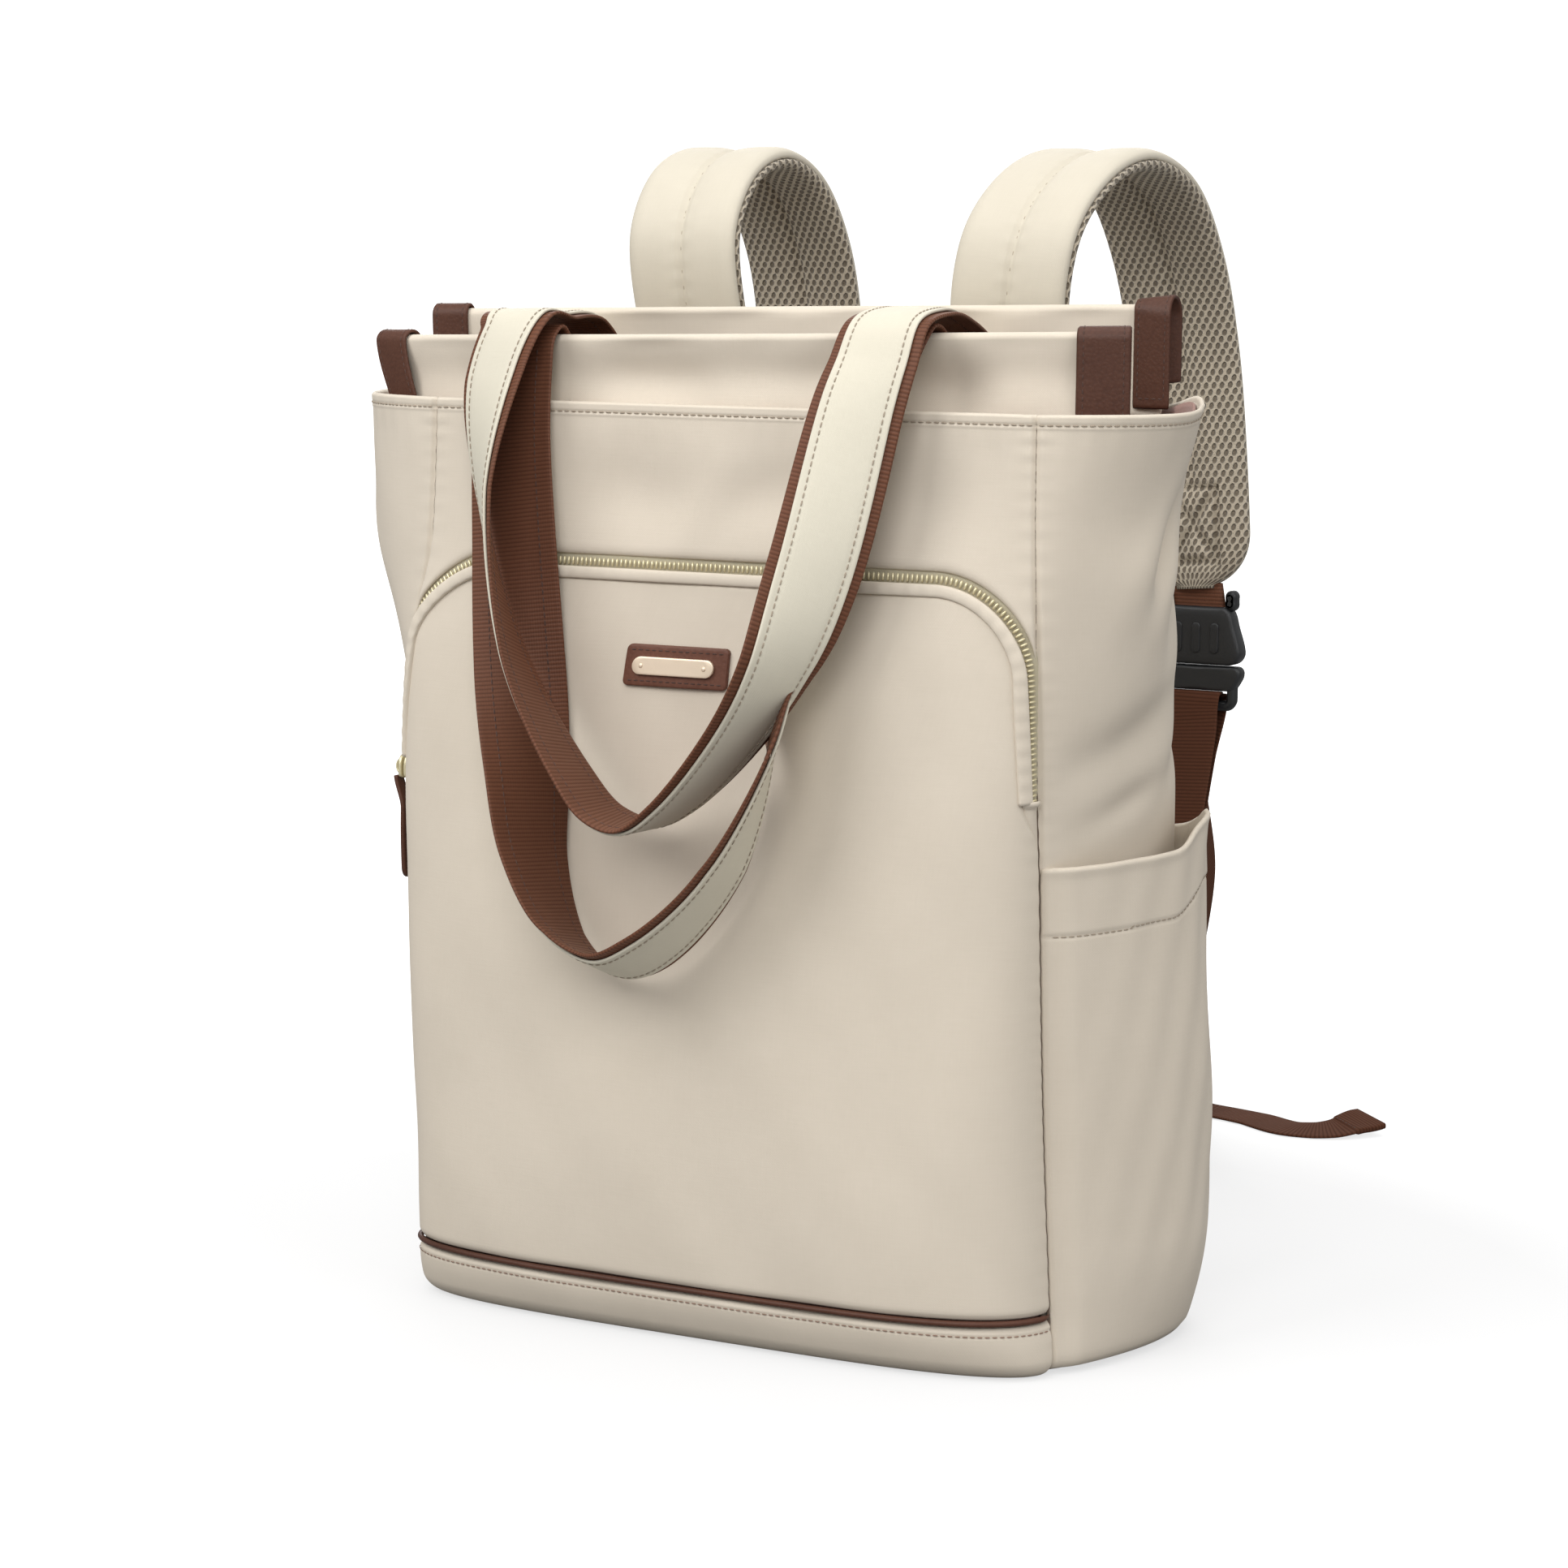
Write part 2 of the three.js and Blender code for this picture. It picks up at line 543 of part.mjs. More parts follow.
// Frames of a strap whose centre runs through table rows [x, y, z, turn]; turn is the heading, in degrees
// from +X, of the strap's width seen from above.
function strapFrames(rows, shares) {
  const curve = new THREE.CatmullRomCurve3(rows.map(([x, y, z]) => vec(x, y, z)), false, 'centripetal');
  const headings = rows.map(([, , , turn], i) => vec(i, turn, 0));
  const turns = new THREE.CatmullRomCurve3(headings, false, 'centripetal');
  curve.arcLengthDivisions = 600;
  return shares.map((share) => {
    const at = curve.getPointAt(share);
    const along = curve.getTangentAt(share);
    const turn = degToRad(turns.getPoint(curve.getUtoTmapping(share)).y);
    const across = vec(Math.cos(turn), Math.sin(turn), 0);
    across.addScaledVector(along, -across.dot(along)).normalize();
    return { at, across, out: along.clone().cross(across).normalize() };
  });
}

// Centre lines of the two carrying handles, from the left leg down, round and up the right leg.
// Columns: x, y, z, turn.
const handleRows = {
  rear: [
    [-100.5, -7.4, 391, 9], [-100.2, -9.6, 404, 5.8], [-100.1, -25.1, 421.3, -2.7],
    [-97.7, -52.9, 423.6, -11.5], [-94.2, -77.3, 422.3, -17], [-96.7, -91.8, 398.8, -22],
    [-93, -104.6, 350.2, -38.8], [-71.4, -118.1, 286.1, -42.6], [-38.7, -123.8, 236.9, -41.3],
    [-27.9, -124, 217.7, -60], [-16.4, -121.5, 216.6, -78.1], [0.5, -120, 227.7, -99],
    [34, -118, 262.4, -124], [48, -119.5, 290, -151], [63, -113, 327.3, -158],
    [75.9, -97.9, 391.6, -168], [78, -90.5, 407.5, -175.4], [78.7, -80, 423, -180.9],
    [78.4, -58.7, 427.5, -182.5], [73.9, -32, 425, -180.6], [68.7, 1.1, 414.5, -174.8],
    [68.8, 16.2, 400.8, -171.9], [70.5, 18.6, 390.8, -171],
  ],
  front: [
    [-95, -61.6, 398, -186], [-95.1, -61.5, 412.5, -186], [-95.2, -67.5, 418.4, -184.6],
    [-95.1, -75, 414, -182.1], [-94.5, -78.6, 401, -181.7], [-93, -82.8, 373, -180.4],
    [-87.4, -89.5, 331, -173.4], [-80.2, -97.3, 286, -156.9], [-71.2, -106.3, 241.8, -127.4],
    [-63.5, -112.8, 203.3, -104.3], [-44.1, -117.1, 169.3, -82.6], [-19.7, -117.3, 155.9, -88.2],
    [-0.3, -118, 173.5, -97.1], [32.2, -116.1, 207.7, -85.9], [50.5, -109, 256, -66],
    [51.5, -100, 276, -36], [53.5, -97, 294, -22], [56, -92.5, 327.9, -8], [68.5, -87.5, 385.3, -4],
    [73.4, -82, 404, -1.5], [75.6, -76.8, 415, 1.3], [76.3, -68.5, 421.6, 3.8],
    [76.3, -60.2, 417, 5.9], [76.2, -60.3, 398.8, 6],
  ],
};

// Webbing with the narrower facing sewn on its outer side, split along the same lines.
const handleWeb = [
  [-handle.webbing / 2, -handle.webThick], [-handle.facing / 2, -handle.webThick],
  [handle.facing / 2, -handle.webThick], [handle.webbing / 2, -handle.webThick],
  [handle.webbing / 2, 0], [handle.facing / 2, 0], [-handle.facing / 2, 0], [-handle.webbing / 2, 0]];
const handleFace = [
  [handle.facing / 2, handle.gap], [-handle.facing / 2, handle.gap],
  [-handle.facing / 2, handle.gap + handle.faceThick], [handle.facing / 2, handle.gap + handle.faceThick]];

function makeHandles() {
  for (const [name, rows] of Object.entries(handleRows)) {
    const frames = strapFrames(rows, stretches([[0.06, 9], [0.94, 28], [1, 9]]));
    const bare = handle.bareSteps[name];
    add(`${name}_handle_webbing`, sweep(frames, handleWeb), 'brownWebbing');
    add(`${name}_handle_facing`, sweep(frames.slice(bare, -bare), handleFace), 'canvas');
  }
}

// Shoulder straps: padded arches from the back of the rim, then buckle, webbing to the base and free tail.
// Columns: x, y, z, turn.
const strapRows = {
  right: [
    [72, 66, 336, 0], [73, 61.8, 366, 0], [73, 57.5, 396, 0], [74, 42, 425, 0], [77, 46, 458, 0],
    [79, 76, 482, 0], [81, 118, 491.5, 0], [83, 160, 480, 0], [84, 189, 450, 0], [86, 205, 408, 0],
    [90, 209, 352, 0], [94, 207, 300, 0],
  ],
  left: [
    [-80, 66, 336, 0], [-80, 61.8, 366, 0], [-80, 57.5, 396, 0], [-80, 42, 425, 0], [-82, 40, 458, 0],
    [-84, 61, 483, 0], [-85, 94, 492, 0], [-85, 127, 481, 0], [-84, 150, 452, 0], [-84, 163, 410, 0],
    [-86, 170, 352, 0], [-89, 172, 300, 0],
  ],
};
const webbingRows = {
  right: [
    [96, 206, 252.8, 0], [96, 202, 252.4, 0], [96, 199.5, 246, 0], [97, 196, 236, 0],
    [101, 166, 180, 0], [110, 126, 112, 0], [114, 96, 64, 0], [115, 80, 44, 0], [115, 77.8, 22, 0],
  ],
  left: [
    [-90, 171, 252.8, 0], [-90, 167, 252.4, 0], [-90, 164.5, 246, 0], [-91, 161, 236, 0],
    [-99, 138, 172, 0], [-107, 110, 112, 0], [-112, 92, 66, 0], [-114, 80, 46, 0], [-114, 77.8, 22, 0],
  ],
};
const tailRows = {
  right: [
    [96, 208.4, 251.3, 0], [96, 211.4, 251.2, 0], [96, 213, 247, -8], [94.5, 217, 226, -40],
    [93.5, 224, 200, -68], [90, 236, 160, -84], [78, 254, 116, -80],
    [58, 300, 62, -74], [34, 372, 20, -80], [12, 430, 4.5, -100], [20, 449, 1.6, -122], [44, 434, 1.4, -112],
    [66, 424, 1.4, -90], [84, 432, 3.2, -68], [93.5, 442, 6, -58], [98.5, 449.5, 7, -56],
  ],
  left: [
    [-90, 173.4, 251.3, 0], [-90, 176.4, 251.2, 0], [-90, 178, 247, 0], [-91, 182, 220, 0],
    [-93, 185, 160, 0], [-94, 186, 90, 0], [-95, 184, 34, 0],
  ],
};

// Lifts a frame of webbing so that its lowest edge lies on the floor, not under it.
function restOnFloor(frame) {
  const reach = Math.abs(frame.across.z) * webbing.wide / 2 + Math.abs(frame.out.z) * webbing.thick / 2;
  frame.at.z = Math.max(frame.at.z, reach + floorGap);
}

function makeStraps() {
  for (const side of ['right', 'left']) {
    const frames = strapFrames(strapRows[side], stretches([[1, 30]]));
    // The pad narrows to a rounded end above the buckle.
    const cut = [0.98, 0.88, 0.62];
    const tapered = frames.map((f, i) => {
      const k = i - (frames.length - cut.length);
      return { ...f, across: f.across.clone().multiplyScalar(k < 0 ? 1 : cut[k]) };
    });
    // The outer face of the arch is away from the wearer: up and backwards over the top.
    const cover = padProfile(strap.wide, -strap.gap / 2, -strap.gap / 2 - strap.cover);
    const mesh = padProfile(strap.wide - 3, strap.gap / 2, strap.gap / 2 + strap.mesh);
    add(`${side}_strap_cover`, sweep(tapered, cover), 'canvas');
    add(`${side}_strap_mesh`, sweep(tapered, mesh), 'mesh');

    const end = frames[frames.length - 1].at;
    const middle = vec(webbingRows[side][0][0], end.y, end.z - buckle.hang);
    makeBuckle(side, middle);

    const loopFoot = middle.clone().setZ(middle.z + buckle.socketTall / 2 + seamGap);
    const loop = [end.clone().setZ(end.z - 1), loopFoot].map(
      (at) => ({ at, across: vec(1, 0, 0), out: vec(0, 1, 0) }));
    add(`${side}_strap_loop`, sweep(loop, flatProfile(webbing.wide, -2, 2)), 'brownWebbing');

    const band = flatProfile(webbing.wide, -webbing.thick / 2, webbing.thick / 2);
    const lower = strapFrames(webbingRows[side], stretches([[0.08, 6], [1, 12]]));
    add(`${side}_lower_webbing`, sweep(lower, band), 'brownWebbing');
    const tailSteps = side === 'right' ? [[0.04, 6], [1, 38]] : [[0.08, 6], [1, 8]];
    const tail = strapFrames(tailRows[side], stretches(tailSteps));
    tail.forEach(restOnFloor);
    add(`${side}_webbing_tail`, sweep(tail, band), 'brownWebbing');
  }
}

// Side-release buckle, fastened: a rounded socket above a barred prong piece.
function makeBuckle(side, middle) {
  const outline = (wide, tall, round, neck = wide) => {
    const shape = new THREE.Shape();
    const [x, y, top] = [wide / 2, tall / 2, neck / 2];
    shape.moveTo(-x + round, -y);
    shape.lineTo(x - round, -y);
    shape.quadraticCurveTo(x, -y, x, -y + round);
    shape.lineTo(top, y - round);
    shape.quadraticCurveTo(top, y, top - round, y);
    shape.lineTo(-top + round, y);
    shape.quadraticCurveTo(-top, y, -top, y - round);
    shape.lineTo(-x, -y + round);
    shape.quadraticCurveTo(-x, -y, -x + round, -y);
    return shape;
  };
  const block = (shape, thick) => {
    const made = new THREE.ExtrudeGeometry(shape, { depth: thick, bevelEnabled: false, curveSegments: 3 });
    made.translate(0, 0, -thick / 2);
    made.rotateX(Math.PI / 2);
    return made;
  };
  const socketShape = outline(buckle.wide, buckle.socketTall, 6, buckle.neck);
  const socket = add(`${side}_buckle_socket`, block(socketShape, buckle.thick), 'plastic');
  socket.position.copy(middle);

  const prongShape = outline(buckle.wide, buckle.prongTall, 5);
  const slot = outline(webbing.wide + 2, buckle.slotTall, 1.5);
  prongShape.holes.push(new THREE.Path(slot.getPoints(3).map((p) => p.setY(p.y - buckle.slotDrop))));
  const prong = add(`${side}_buckle_prong`, block(prongShape, buckle.thick * 0.7), 'plastic');
  const drop = buckle.socketTall / 2 + buckle.prongTall / 2 + seamGap;
  prong.position.copy(middle).add(vec(0, 0, -drop));
}

// Slider at the left end of the zip with its leather pull hanging from it.
function makeZipPull() {
  const low = zip.end - slider.drop;
  const [spot] = frontFrames([[slider.inset, low, -1], [slider.inset, low + slider.tall / 2, -1]], 0);
  const frame = (out, rise) => ({
    at: spot.at.clone().addScaledVector(spot.out, out).setZ(spot.at.z + rise),
    across: spot.across,
    out: spot.out,
  });
  const body = [-slider.tall / 2, slider.tall / 2].map((rise) => frame(slider.proud, rise));
  add('zip_slider', sweep(body, domeProfile(slider.wide, slider.thick)), 'zip');
  const strip = [[0, pull.foot], [pull.bow, pull.middle], [0, pull.top]].map(
    ([bow, rise]) => frame(pull.proud + bow, rise));
  add('zip_pull', sweep(strip, flatProfile(pull.wide, -pull.thick / 2, pull.thick / 2)), 'leather');
}

makeFront();
makeFlanks();
makeBack();
makeLining();
makeClosure();
makeLabel();
makeHandles();
makeStraps();
makeZipPull();

export default bag;
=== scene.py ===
# Canvas laptop bag that is carried as a tote or a backpack. Lengths are in millimetres until a mesh is made.
import bpy
import numpy as np
from mathutils import Matrix


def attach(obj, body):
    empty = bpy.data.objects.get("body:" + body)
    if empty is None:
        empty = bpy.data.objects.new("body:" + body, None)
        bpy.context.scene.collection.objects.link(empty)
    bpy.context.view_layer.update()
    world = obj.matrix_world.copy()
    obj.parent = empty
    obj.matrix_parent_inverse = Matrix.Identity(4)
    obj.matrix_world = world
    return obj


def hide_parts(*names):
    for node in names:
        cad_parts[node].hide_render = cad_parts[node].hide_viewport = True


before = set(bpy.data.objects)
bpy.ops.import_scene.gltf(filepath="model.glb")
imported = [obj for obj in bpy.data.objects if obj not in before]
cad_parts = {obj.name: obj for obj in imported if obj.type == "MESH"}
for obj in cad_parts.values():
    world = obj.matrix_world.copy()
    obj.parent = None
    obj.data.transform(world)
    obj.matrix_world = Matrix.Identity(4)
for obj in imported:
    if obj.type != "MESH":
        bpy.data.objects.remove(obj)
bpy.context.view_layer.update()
print("frame:", len(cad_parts), "nodes")


# Straight mix: t of the way from a to b.
def lerp(a, b, t):
    return a + (b - a) * t


# Soft step: 0 below low, 1 above high, and in between three times the square less twice the cube.
def smooth(x, low, high):
    t = np.clip((x - low) / (high - low), 0, 1)
    return t * t * (3 - 2 * t)


# Bell: e to the power of minus the square of x over its width.
def bell(x, wide):
    return np.exp(-((x / wide) ** 2))


# Each vector divided by its own length.
def unit(v):
    return v / np.maximum(np.linalg.norm(v, axis=-1, keepdims=True), 1e-9)


# Even steps from 0 to 1, crowded towards both ends by a sine.
def crowded(count, push=0.09):
    t = np.linspace(0, 1, count)
    return t - push * np.sin(2 * np.pi * t)


# Distance walked along a line of points.
def walked(points):
    return np.concatenate([[0], np.cumsum(np.linalg.norm(np.diff(points, axis=0), axis=1))])


# Columns of a table read at other distances, straight between its rows.
def readAt(where, run, table):
    return np.stack([np.interp(where, run, column) for column in table.T], 1)


# Corner numbers of the cells of a grid; closed joins the last column to the first, closedRows the rows.
def gridFaces(rows, cols, closed=False, closedRows=False):
    r, c = np.meshgrid(np.arange(rows if closedRows else rows - 1),
                       np.arange(cols if closed else cols - 1), indexing="ij")
    r2, c2 = (r + 1) % rows, (c + 1) % cols
    return np.stack([r * cols + c, r * cols + c2, r2 * cols + c2, r2 * cols + c], -1).reshape(-1, 4)


# Cross product of the two grid directions: for rows going up and columns going right it points at the viewer.
def gridNormal(grid):
    return unit(np.cross(np.gradient(grid, axis=1), np.gradient(grid, axis=0)))


# A part is a dict: points, faces (arrays of corner numbers), uv, the finish's number and its map's wrap.
def part(points, faces, uv, finish=0, wrap=0.0):
    return {"points": points.reshape(-1, 3), "faces": faces, "uv": uv.reshape(-1, 2), "finish": finish,
            "wrap": wrap}


# Turns a closed part the right way out: the volumes from the origin to its faces add up to its own.
def outwards(made):
    p = made["points"]
    volume = 0.0
    for f in made["faces"]:
        a = p[f[:, 0]]
        for k in range(1, f.shape[1] - 1):
            volume += np.einsum("ij,ij->", a, np.cross(p[f[:, k]], p[f[:, k + 1]]))
    if volume < 0:
        made["faces"] = [f[:, ::-1] for f in made["faces"]]
    return made


# Sheet: a grid, a copy of it behind along its normals, and a half-round edge that joins the two all round.
def shellPart(outer, thick, uv, finish=0):
    rows, cols = outer.shape[:2]
    normal = gridNormal(outer)
    inner = outer - normal * thick
    middle = outer - normal * thick / 2
    r = np.concatenate([np.zeros(cols - 1), np.arange(rows - 1), np.full(cols - 1, rows - 1),
                        np.arange(rows - 1, 0, -1)]).astype(int)
    c = np.concatenate([np.arange(cols - 1), np.full(rows - 1, cols - 1), np.arange(cols - 1, 0, -1),
                        np.zeros(rows - 1)]).astype(int)
    away = np.zeros((len(r), 3))
    for axis, last, at in ((0, rows - 1, r), (1, cols - 1, c)):
        for end, step in ((0, 1), (last, -1)):
            on = at == end
            near = (r[on] + step, c[on]) if axis == 0 else (r[on], c[on] + step)
            away[on] += unit(middle[r[on], c[on]] - middle[near])
    edge = middle[r, c] + unit(away) * thick / 2
    count, size = len(r), rows * cols
    o = r * cols + c
    e = 2 * size + np.arange(count)
    nextO, nextE = np.roll(o, -1), np.roll(e, -1)
    faces = [gridFaces(rows, cols), gridFaces(rows, cols)[:, ::-1] + size,
             np.stack([nextO, o, e, nextE], 1), np.stack([nextE, e, o + size, nextO + size], 1)]
    points = np.concatenate([outer.reshape(-1, 3), inner.reshape(-1, 3), edge])
    flat = uv.reshape(-1, 2)
    return outwards(part(points, [np.concatenate(faces)], np.concatenate([flat, flat, flat[o]]), finish))


# Rings of points carried along a path, closed at both ends by a fan to the middle of the end ring.
def ringPart(rings, finish=0, startV=0.0):
    rows, cols = rings.shape[:2]
    middle = rings.mean(1)
    around = walked(rings[rows // 2])
    total = around[-1] + np.linalg.norm(rings[rows // 2, 0] - rings[rows // 2, -1])
    along = walked(middle) + startV
    uv = np.stack(np.broadcast_arrays(around[None, :], along[:, None]), -1) * 0.01
    points = np.concatenate([rings.reshape(-1, 3), middle[[0, -1]]])
    k = np.arange(cols)
    k2 = (k + 1) % cols
    first = np.stack([np.full(cols, rows * cols), k2, k], 1)
    last = np.stack([np.full(cols, rows * cols + 1), (rows - 1) * cols + k, (rows - 1) * cols + k2], 1)
    ends = np.stack([np.full(2, total / 2), along[[0, -1]]], 1) * 0.01
    uv = np.concatenate([uv.reshape(-1, 2), ends])
    return outwards(part(points, [gridFaces(rows, cols, True), first, last], uv, finish, total * 0.01))


# Profile of (across, out) distances carried along frames; it may change from frame to frame.
def sweepPart(run, profile, finish=0, startV=0.0):
    profile = np.broadcast_to(profile, (len(run["at"]),) + np.shape(profile)[-2:])
    rings = (run["at"][:, None] + run["across"][:, None] * profile[..., :1]
             + run["out"][:, None] * profile[..., 1:])
    return ringPart(rings, finish, startV)


# Strip profile with half-round edges: straight sides joined by two half circles of the strip's thickness.
def stripProfile(wide, low, high, sides=9, crown=0.0):
    r = abs(high - low) / 2
    mid = (high + low) / 2
    turn = np.linspace(-np.pi / 2, np.pi / 2, 7)
    x = np.linspace(-1, 1, sides)[1:-1]
    right = np.stack([wide / 2 - r + r * np.cos(turn), mid + r * np.sin(turn)], 1)
    top = np.stack([-x * (wide / 2 - r), mid + r + crown * (1 - x ** 2)], 1)
    left = np.stack([-wide / 2 + r - r * np.cos(turn), mid - r * np.sin(turn)], 1)
    under = np.stack([x * (wide / 2 - r), np.full(len(x), mid - r)], 1)
    return np.concatenate([under, right, top, left])


# Oval profile: cosine across, sine out.
def ovalProfile(wide, tall, count):
    turn = np.linspace(0, 2 * np.pi, count, endpoint=False)
    return np.stack([wide / 2 * np.cos(turn), tall / 2 * np.sin(turn)], 1)


# Frames that keep one direction across and one out.
def straightRun(at, across, out):
    return {"at": at, "across": np.tile(across, (len(at), 1)), "out": np.tile(out, (len(at), 1))}


# Frames along a line on a surface: across is square to the normal and the line, out is square to both.
def framesOn(at, normal):
    along = unit(np.gradient(at, axis=0))
    across = unit(np.cross(normal, along))
    return {"at": at, "across": across, "out": unit(np.cross(along, across))}


# Small beads laid along a run: five rings of six points, thin at both ends and arched in the middle.
def beadPart(at, along, up, size, finish=0, arch=0.25):
    ring = np.arange(6) * np.pi / 3
    place = np.array([-0.5, -0.32, 0, 0.32, 0.5])
    girth = np.array([0.4, 0.88, 1, 0.88, 0.4])
    rise = arch * (girth - 1)
    local = np.stack(np.broadcast_arrays(
        place[:, None] * size[0], girth[:, None] * np.cos(ring) * size[1] / 2,
        girth[:, None] * np.sin(ring) * size[2] / 2 + rise[:, None] * size[2]), -1).reshape(-1, 3)
    side = np.cross(up, along)
    axes = np.stack([along, side, up], 1)
    points = at[:, None] + np.einsum("ij,kjl->kil", local, axes)
    shape = np.concatenate([gridFaces(5, 6, True), [[3, 2, 1, 0], [5, 4, 3, 0]],
                            np.array([[0, 1, 2, 3], [0, 3, 4, 5]]) + 24])
    faces = (shape[None] + (np.arange(len(at)) * 30)[:, None, None]).reshape(-1, 4)
    uv = np.tile(np.stack([local[:, 0], local[:, 1]], 1) * 0.01, (len(at), 1))
    return outwards(part(points, [faces], uv, finish))


# Stitches at an even pitch along a line of points; lift raises them from the cloth.
def stitchPart(line, normal, pitch, long, thick, lift=0.05, finish=0):
    run = walked(line)
    count = max(int(run[-1] / pitch), 1)
    s = (np.arange(count) + 0.5) * run[-1] / count
    along = unit(readAt(s + 0.4, run, line) - readAt(s - 0.4, run, line))
    up = readAt(s, run, normal)
    up = unit(up - along * np.einsum("ij,ij->i", up, along)[:, None])
    return beadPart(readAt(s, run, line) + up * lift, along, up, (long, thick, thick * 0.8), finish)


# Puts parts into one mesh with its own map, in metres, and hangs the piece on the body.
def makePiece(name, parts, finishes, stands=()):
    points = np.concatenate([p["points"] for p in parts]) * 0.001
    corners, starts, maps, numbers = [], [], [], []
    offset = used = 0
    for p in parts:
        for f in p["faces"]:
            uv = p["uv"][f]
            if p["wrap"]:
                far = uv[..., 0].max(1, keepdims=True) - uv[..., 0] > p["wrap"] / 2
                uv[..., 0] += far * p["wrap"]
            corners.append((f + offset).ravel())
            starts.append(used + np.arange(len(f)) * f.shape[1])
            maps.append(uv.reshape(-1, 2))
            numbers.append(np.full(len(f), p["finish"]))
            used += f.size
        offset += len(p["points"])
    mesh = bpy.data.meshes.new(name)
    mesh.vertices.add(len(points))
    mesh.vertices.foreach_set("co", points.astype(np.float32).ravel())
    mesh.loops.add(used)
    mesh.loops.foreach_set("vertex_index", np.concatenate(corners).astype(np.int32))
    starts = np.concatenate(starts)
    mesh.polygons.add(len(starts))
    mesh.polygons.foreach_set("loop_start", starts.astype(np.int32))
    mesh.update(calc_edges=True)
    layer = mesh.uv_layers.new(name="clothMap")
    layer.uv.foreach_set("vector", np.concatenate(maps).astype(np.float32).ravel())
    for finish in finishes:
        mesh.materials.append(finish)
    mesh.polygons.foreach_set("material_index", np.concatenate(numbers).astype(np.int32))
    mesh.polygons.foreach_set("use_smooth", np.ones(len(starts), bool))
    mesh.validate()
    piece = bpy.data.objects.new(name, mesh)
    bpy.context.collection.objects.link(piece)
    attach(piece, "root")
    if stands:
        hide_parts(*stands)
    return piece


# Camera of the photograph: where it stands, what it looks at, its lens and its lean.
view = {"at": (0.7861, -1.4689, 0.4475), "target": (-0.00923, 0.002, 0.2252), "lens": 90.58, "lean": 0.57}


# Its axes: forward to the target, right square to forward and the upright, then right and up are leaned.
def makeCamera():
    data = bpy.data.cameras.new("photoCamera")
    data.sensor_width = 36
    data.lens = view["lens"]
    camera = bpy.data.objects.new("photoCamera", data)
    bpy.context.collection.objects.link(camera)
    forward = unit(np.array(view["target"]) - view["at"])
    right = unit(np.cross(forward, [0, 0, 1]))
    up = np.cross(right, forward)
    lean = np.radians(view["lean"])
    right, up = right * np.cos(lean) + up * np.sin(lean), up * np.cos(lean) - right * np.sin(lean)
    turned = np.eye(4)
    turned[:3, :4] = np.stack([right, up, -forward, view["at"]], 1)
    camera.matrix_world = Matrix(turned.tolist())
    bpy.context.scene.camera = camera


makeCamera()


# Finishes: wire makes a node, sets its fields, and links a socket or sets a value at each input.
def wire(tree, kind, inputs=None, **settings):
    made = tree.nodes.new(kind)
    for key, value in settings.items():
        setattr(made, key, value)
    for key, value in (inputs or {}).items():
        if isinstance(value, bpy.types.NodeSocket):
            tree.links.new(value, made.inputs[key])
        else:
            made.inputs[key].default_value = value
    return made


# One Math node on two sockets or values.
def math(tree, what, a, b=0.0):
    return wire(tree, "ShaderNodeMath", {0: a, 1: b}, operation=what).outputs[0]


# Sum of two values, each times its weight.
def weighted(tree, a, byA, b, byB):
    return math(tree, "ADD", math(tree, "MULTIPLY", a, byA), math(tree, "MULTIPLY", b, byB))


# Noise of a scale, read at a place.
def noise(tree, place, scale, detail=2.0):
    return wire(tree, "ShaderNodeTexNoise", {"Vector": place, "Scale": scale, "Detail": detail}).outputs[0]


# Value carried from one range to another, straight or by a soft step.
def ranged(tree, value, low, high, toLow, toHigh, curve="LINEAR"):
    return wire(tree, "ShaderNodeMapRange", {"Value": value, "From Min": low, "From Max": high,
                                             "To Min": toLow, "To Max": toHigh},
                interpolation_type=curve).outputs[0]


# Empty node group with its named inputs and outputs.
def newGroup(name, takes, gives):
    tree = bpy.data.node_groups.new(name, "ShaderNodeTree")
    for label, kind, value in takes:
        socket = tree.interface.new_socket(label, in_out="INPUT", socket_type=kind)
        if value is not None:
            socket.default_value = value
    for label, kind in gives:
        tree.interface.new_socket(label, in_out="OUTPUT", socket_type=kind)
    return tree, tree.nodes.new("NodeGroupInput").outputs, tree.nodes.new("NodeGroupOutput").inputs


# Plain weave: the product of two sines, one for each set of threads, with slubs from stretched noise.
def makeWeave():
    tree, take, give = newGroup("plainWeave", [("Map", "NodeSocketVector", None),
                                               ("Threads", "NodeSocketFloat", 120.0)],
                                [("Height", "NodeSocketFloat"), ("Slub", "NodeSocketFloat")])
    xyz = wire(tree, "ShaderNodeSeparateXYZ", {0: take["Map"]}).outputs
    turn = math(tree, "MULTIPLY", take["Threads"], 2 * np.pi)
    across = math(tree, "SINE", math(tree, "MULTIPLY", xyz[0], turn))
    along = math(tree, "SINE", math(tree, "MULTIPLY", xyz[1], turn))
    woven = math(tree, "MULTIPLY", across, along)
    slubs = []
    for stretch in ((150, 7, 1), (6, 130, 1)):
        moved = wire(tree, "ShaderNodeVectorMath", {0: take["Map"], 1: stretch}, operation="MULTIPLY")
        slubs.append(noise(tree, moved.outputs[0], 1.0))
    slub = math(tree, "MULTIPLY", math(tree, "ADD", *slubs), 0.5)
    tree.links.new(math(tree, "ADD", math(tree, "MULTIPLY", woven, 0.3), slub), give["Height"])
    tree.links.new(slub, give["Slub"])
    return tree


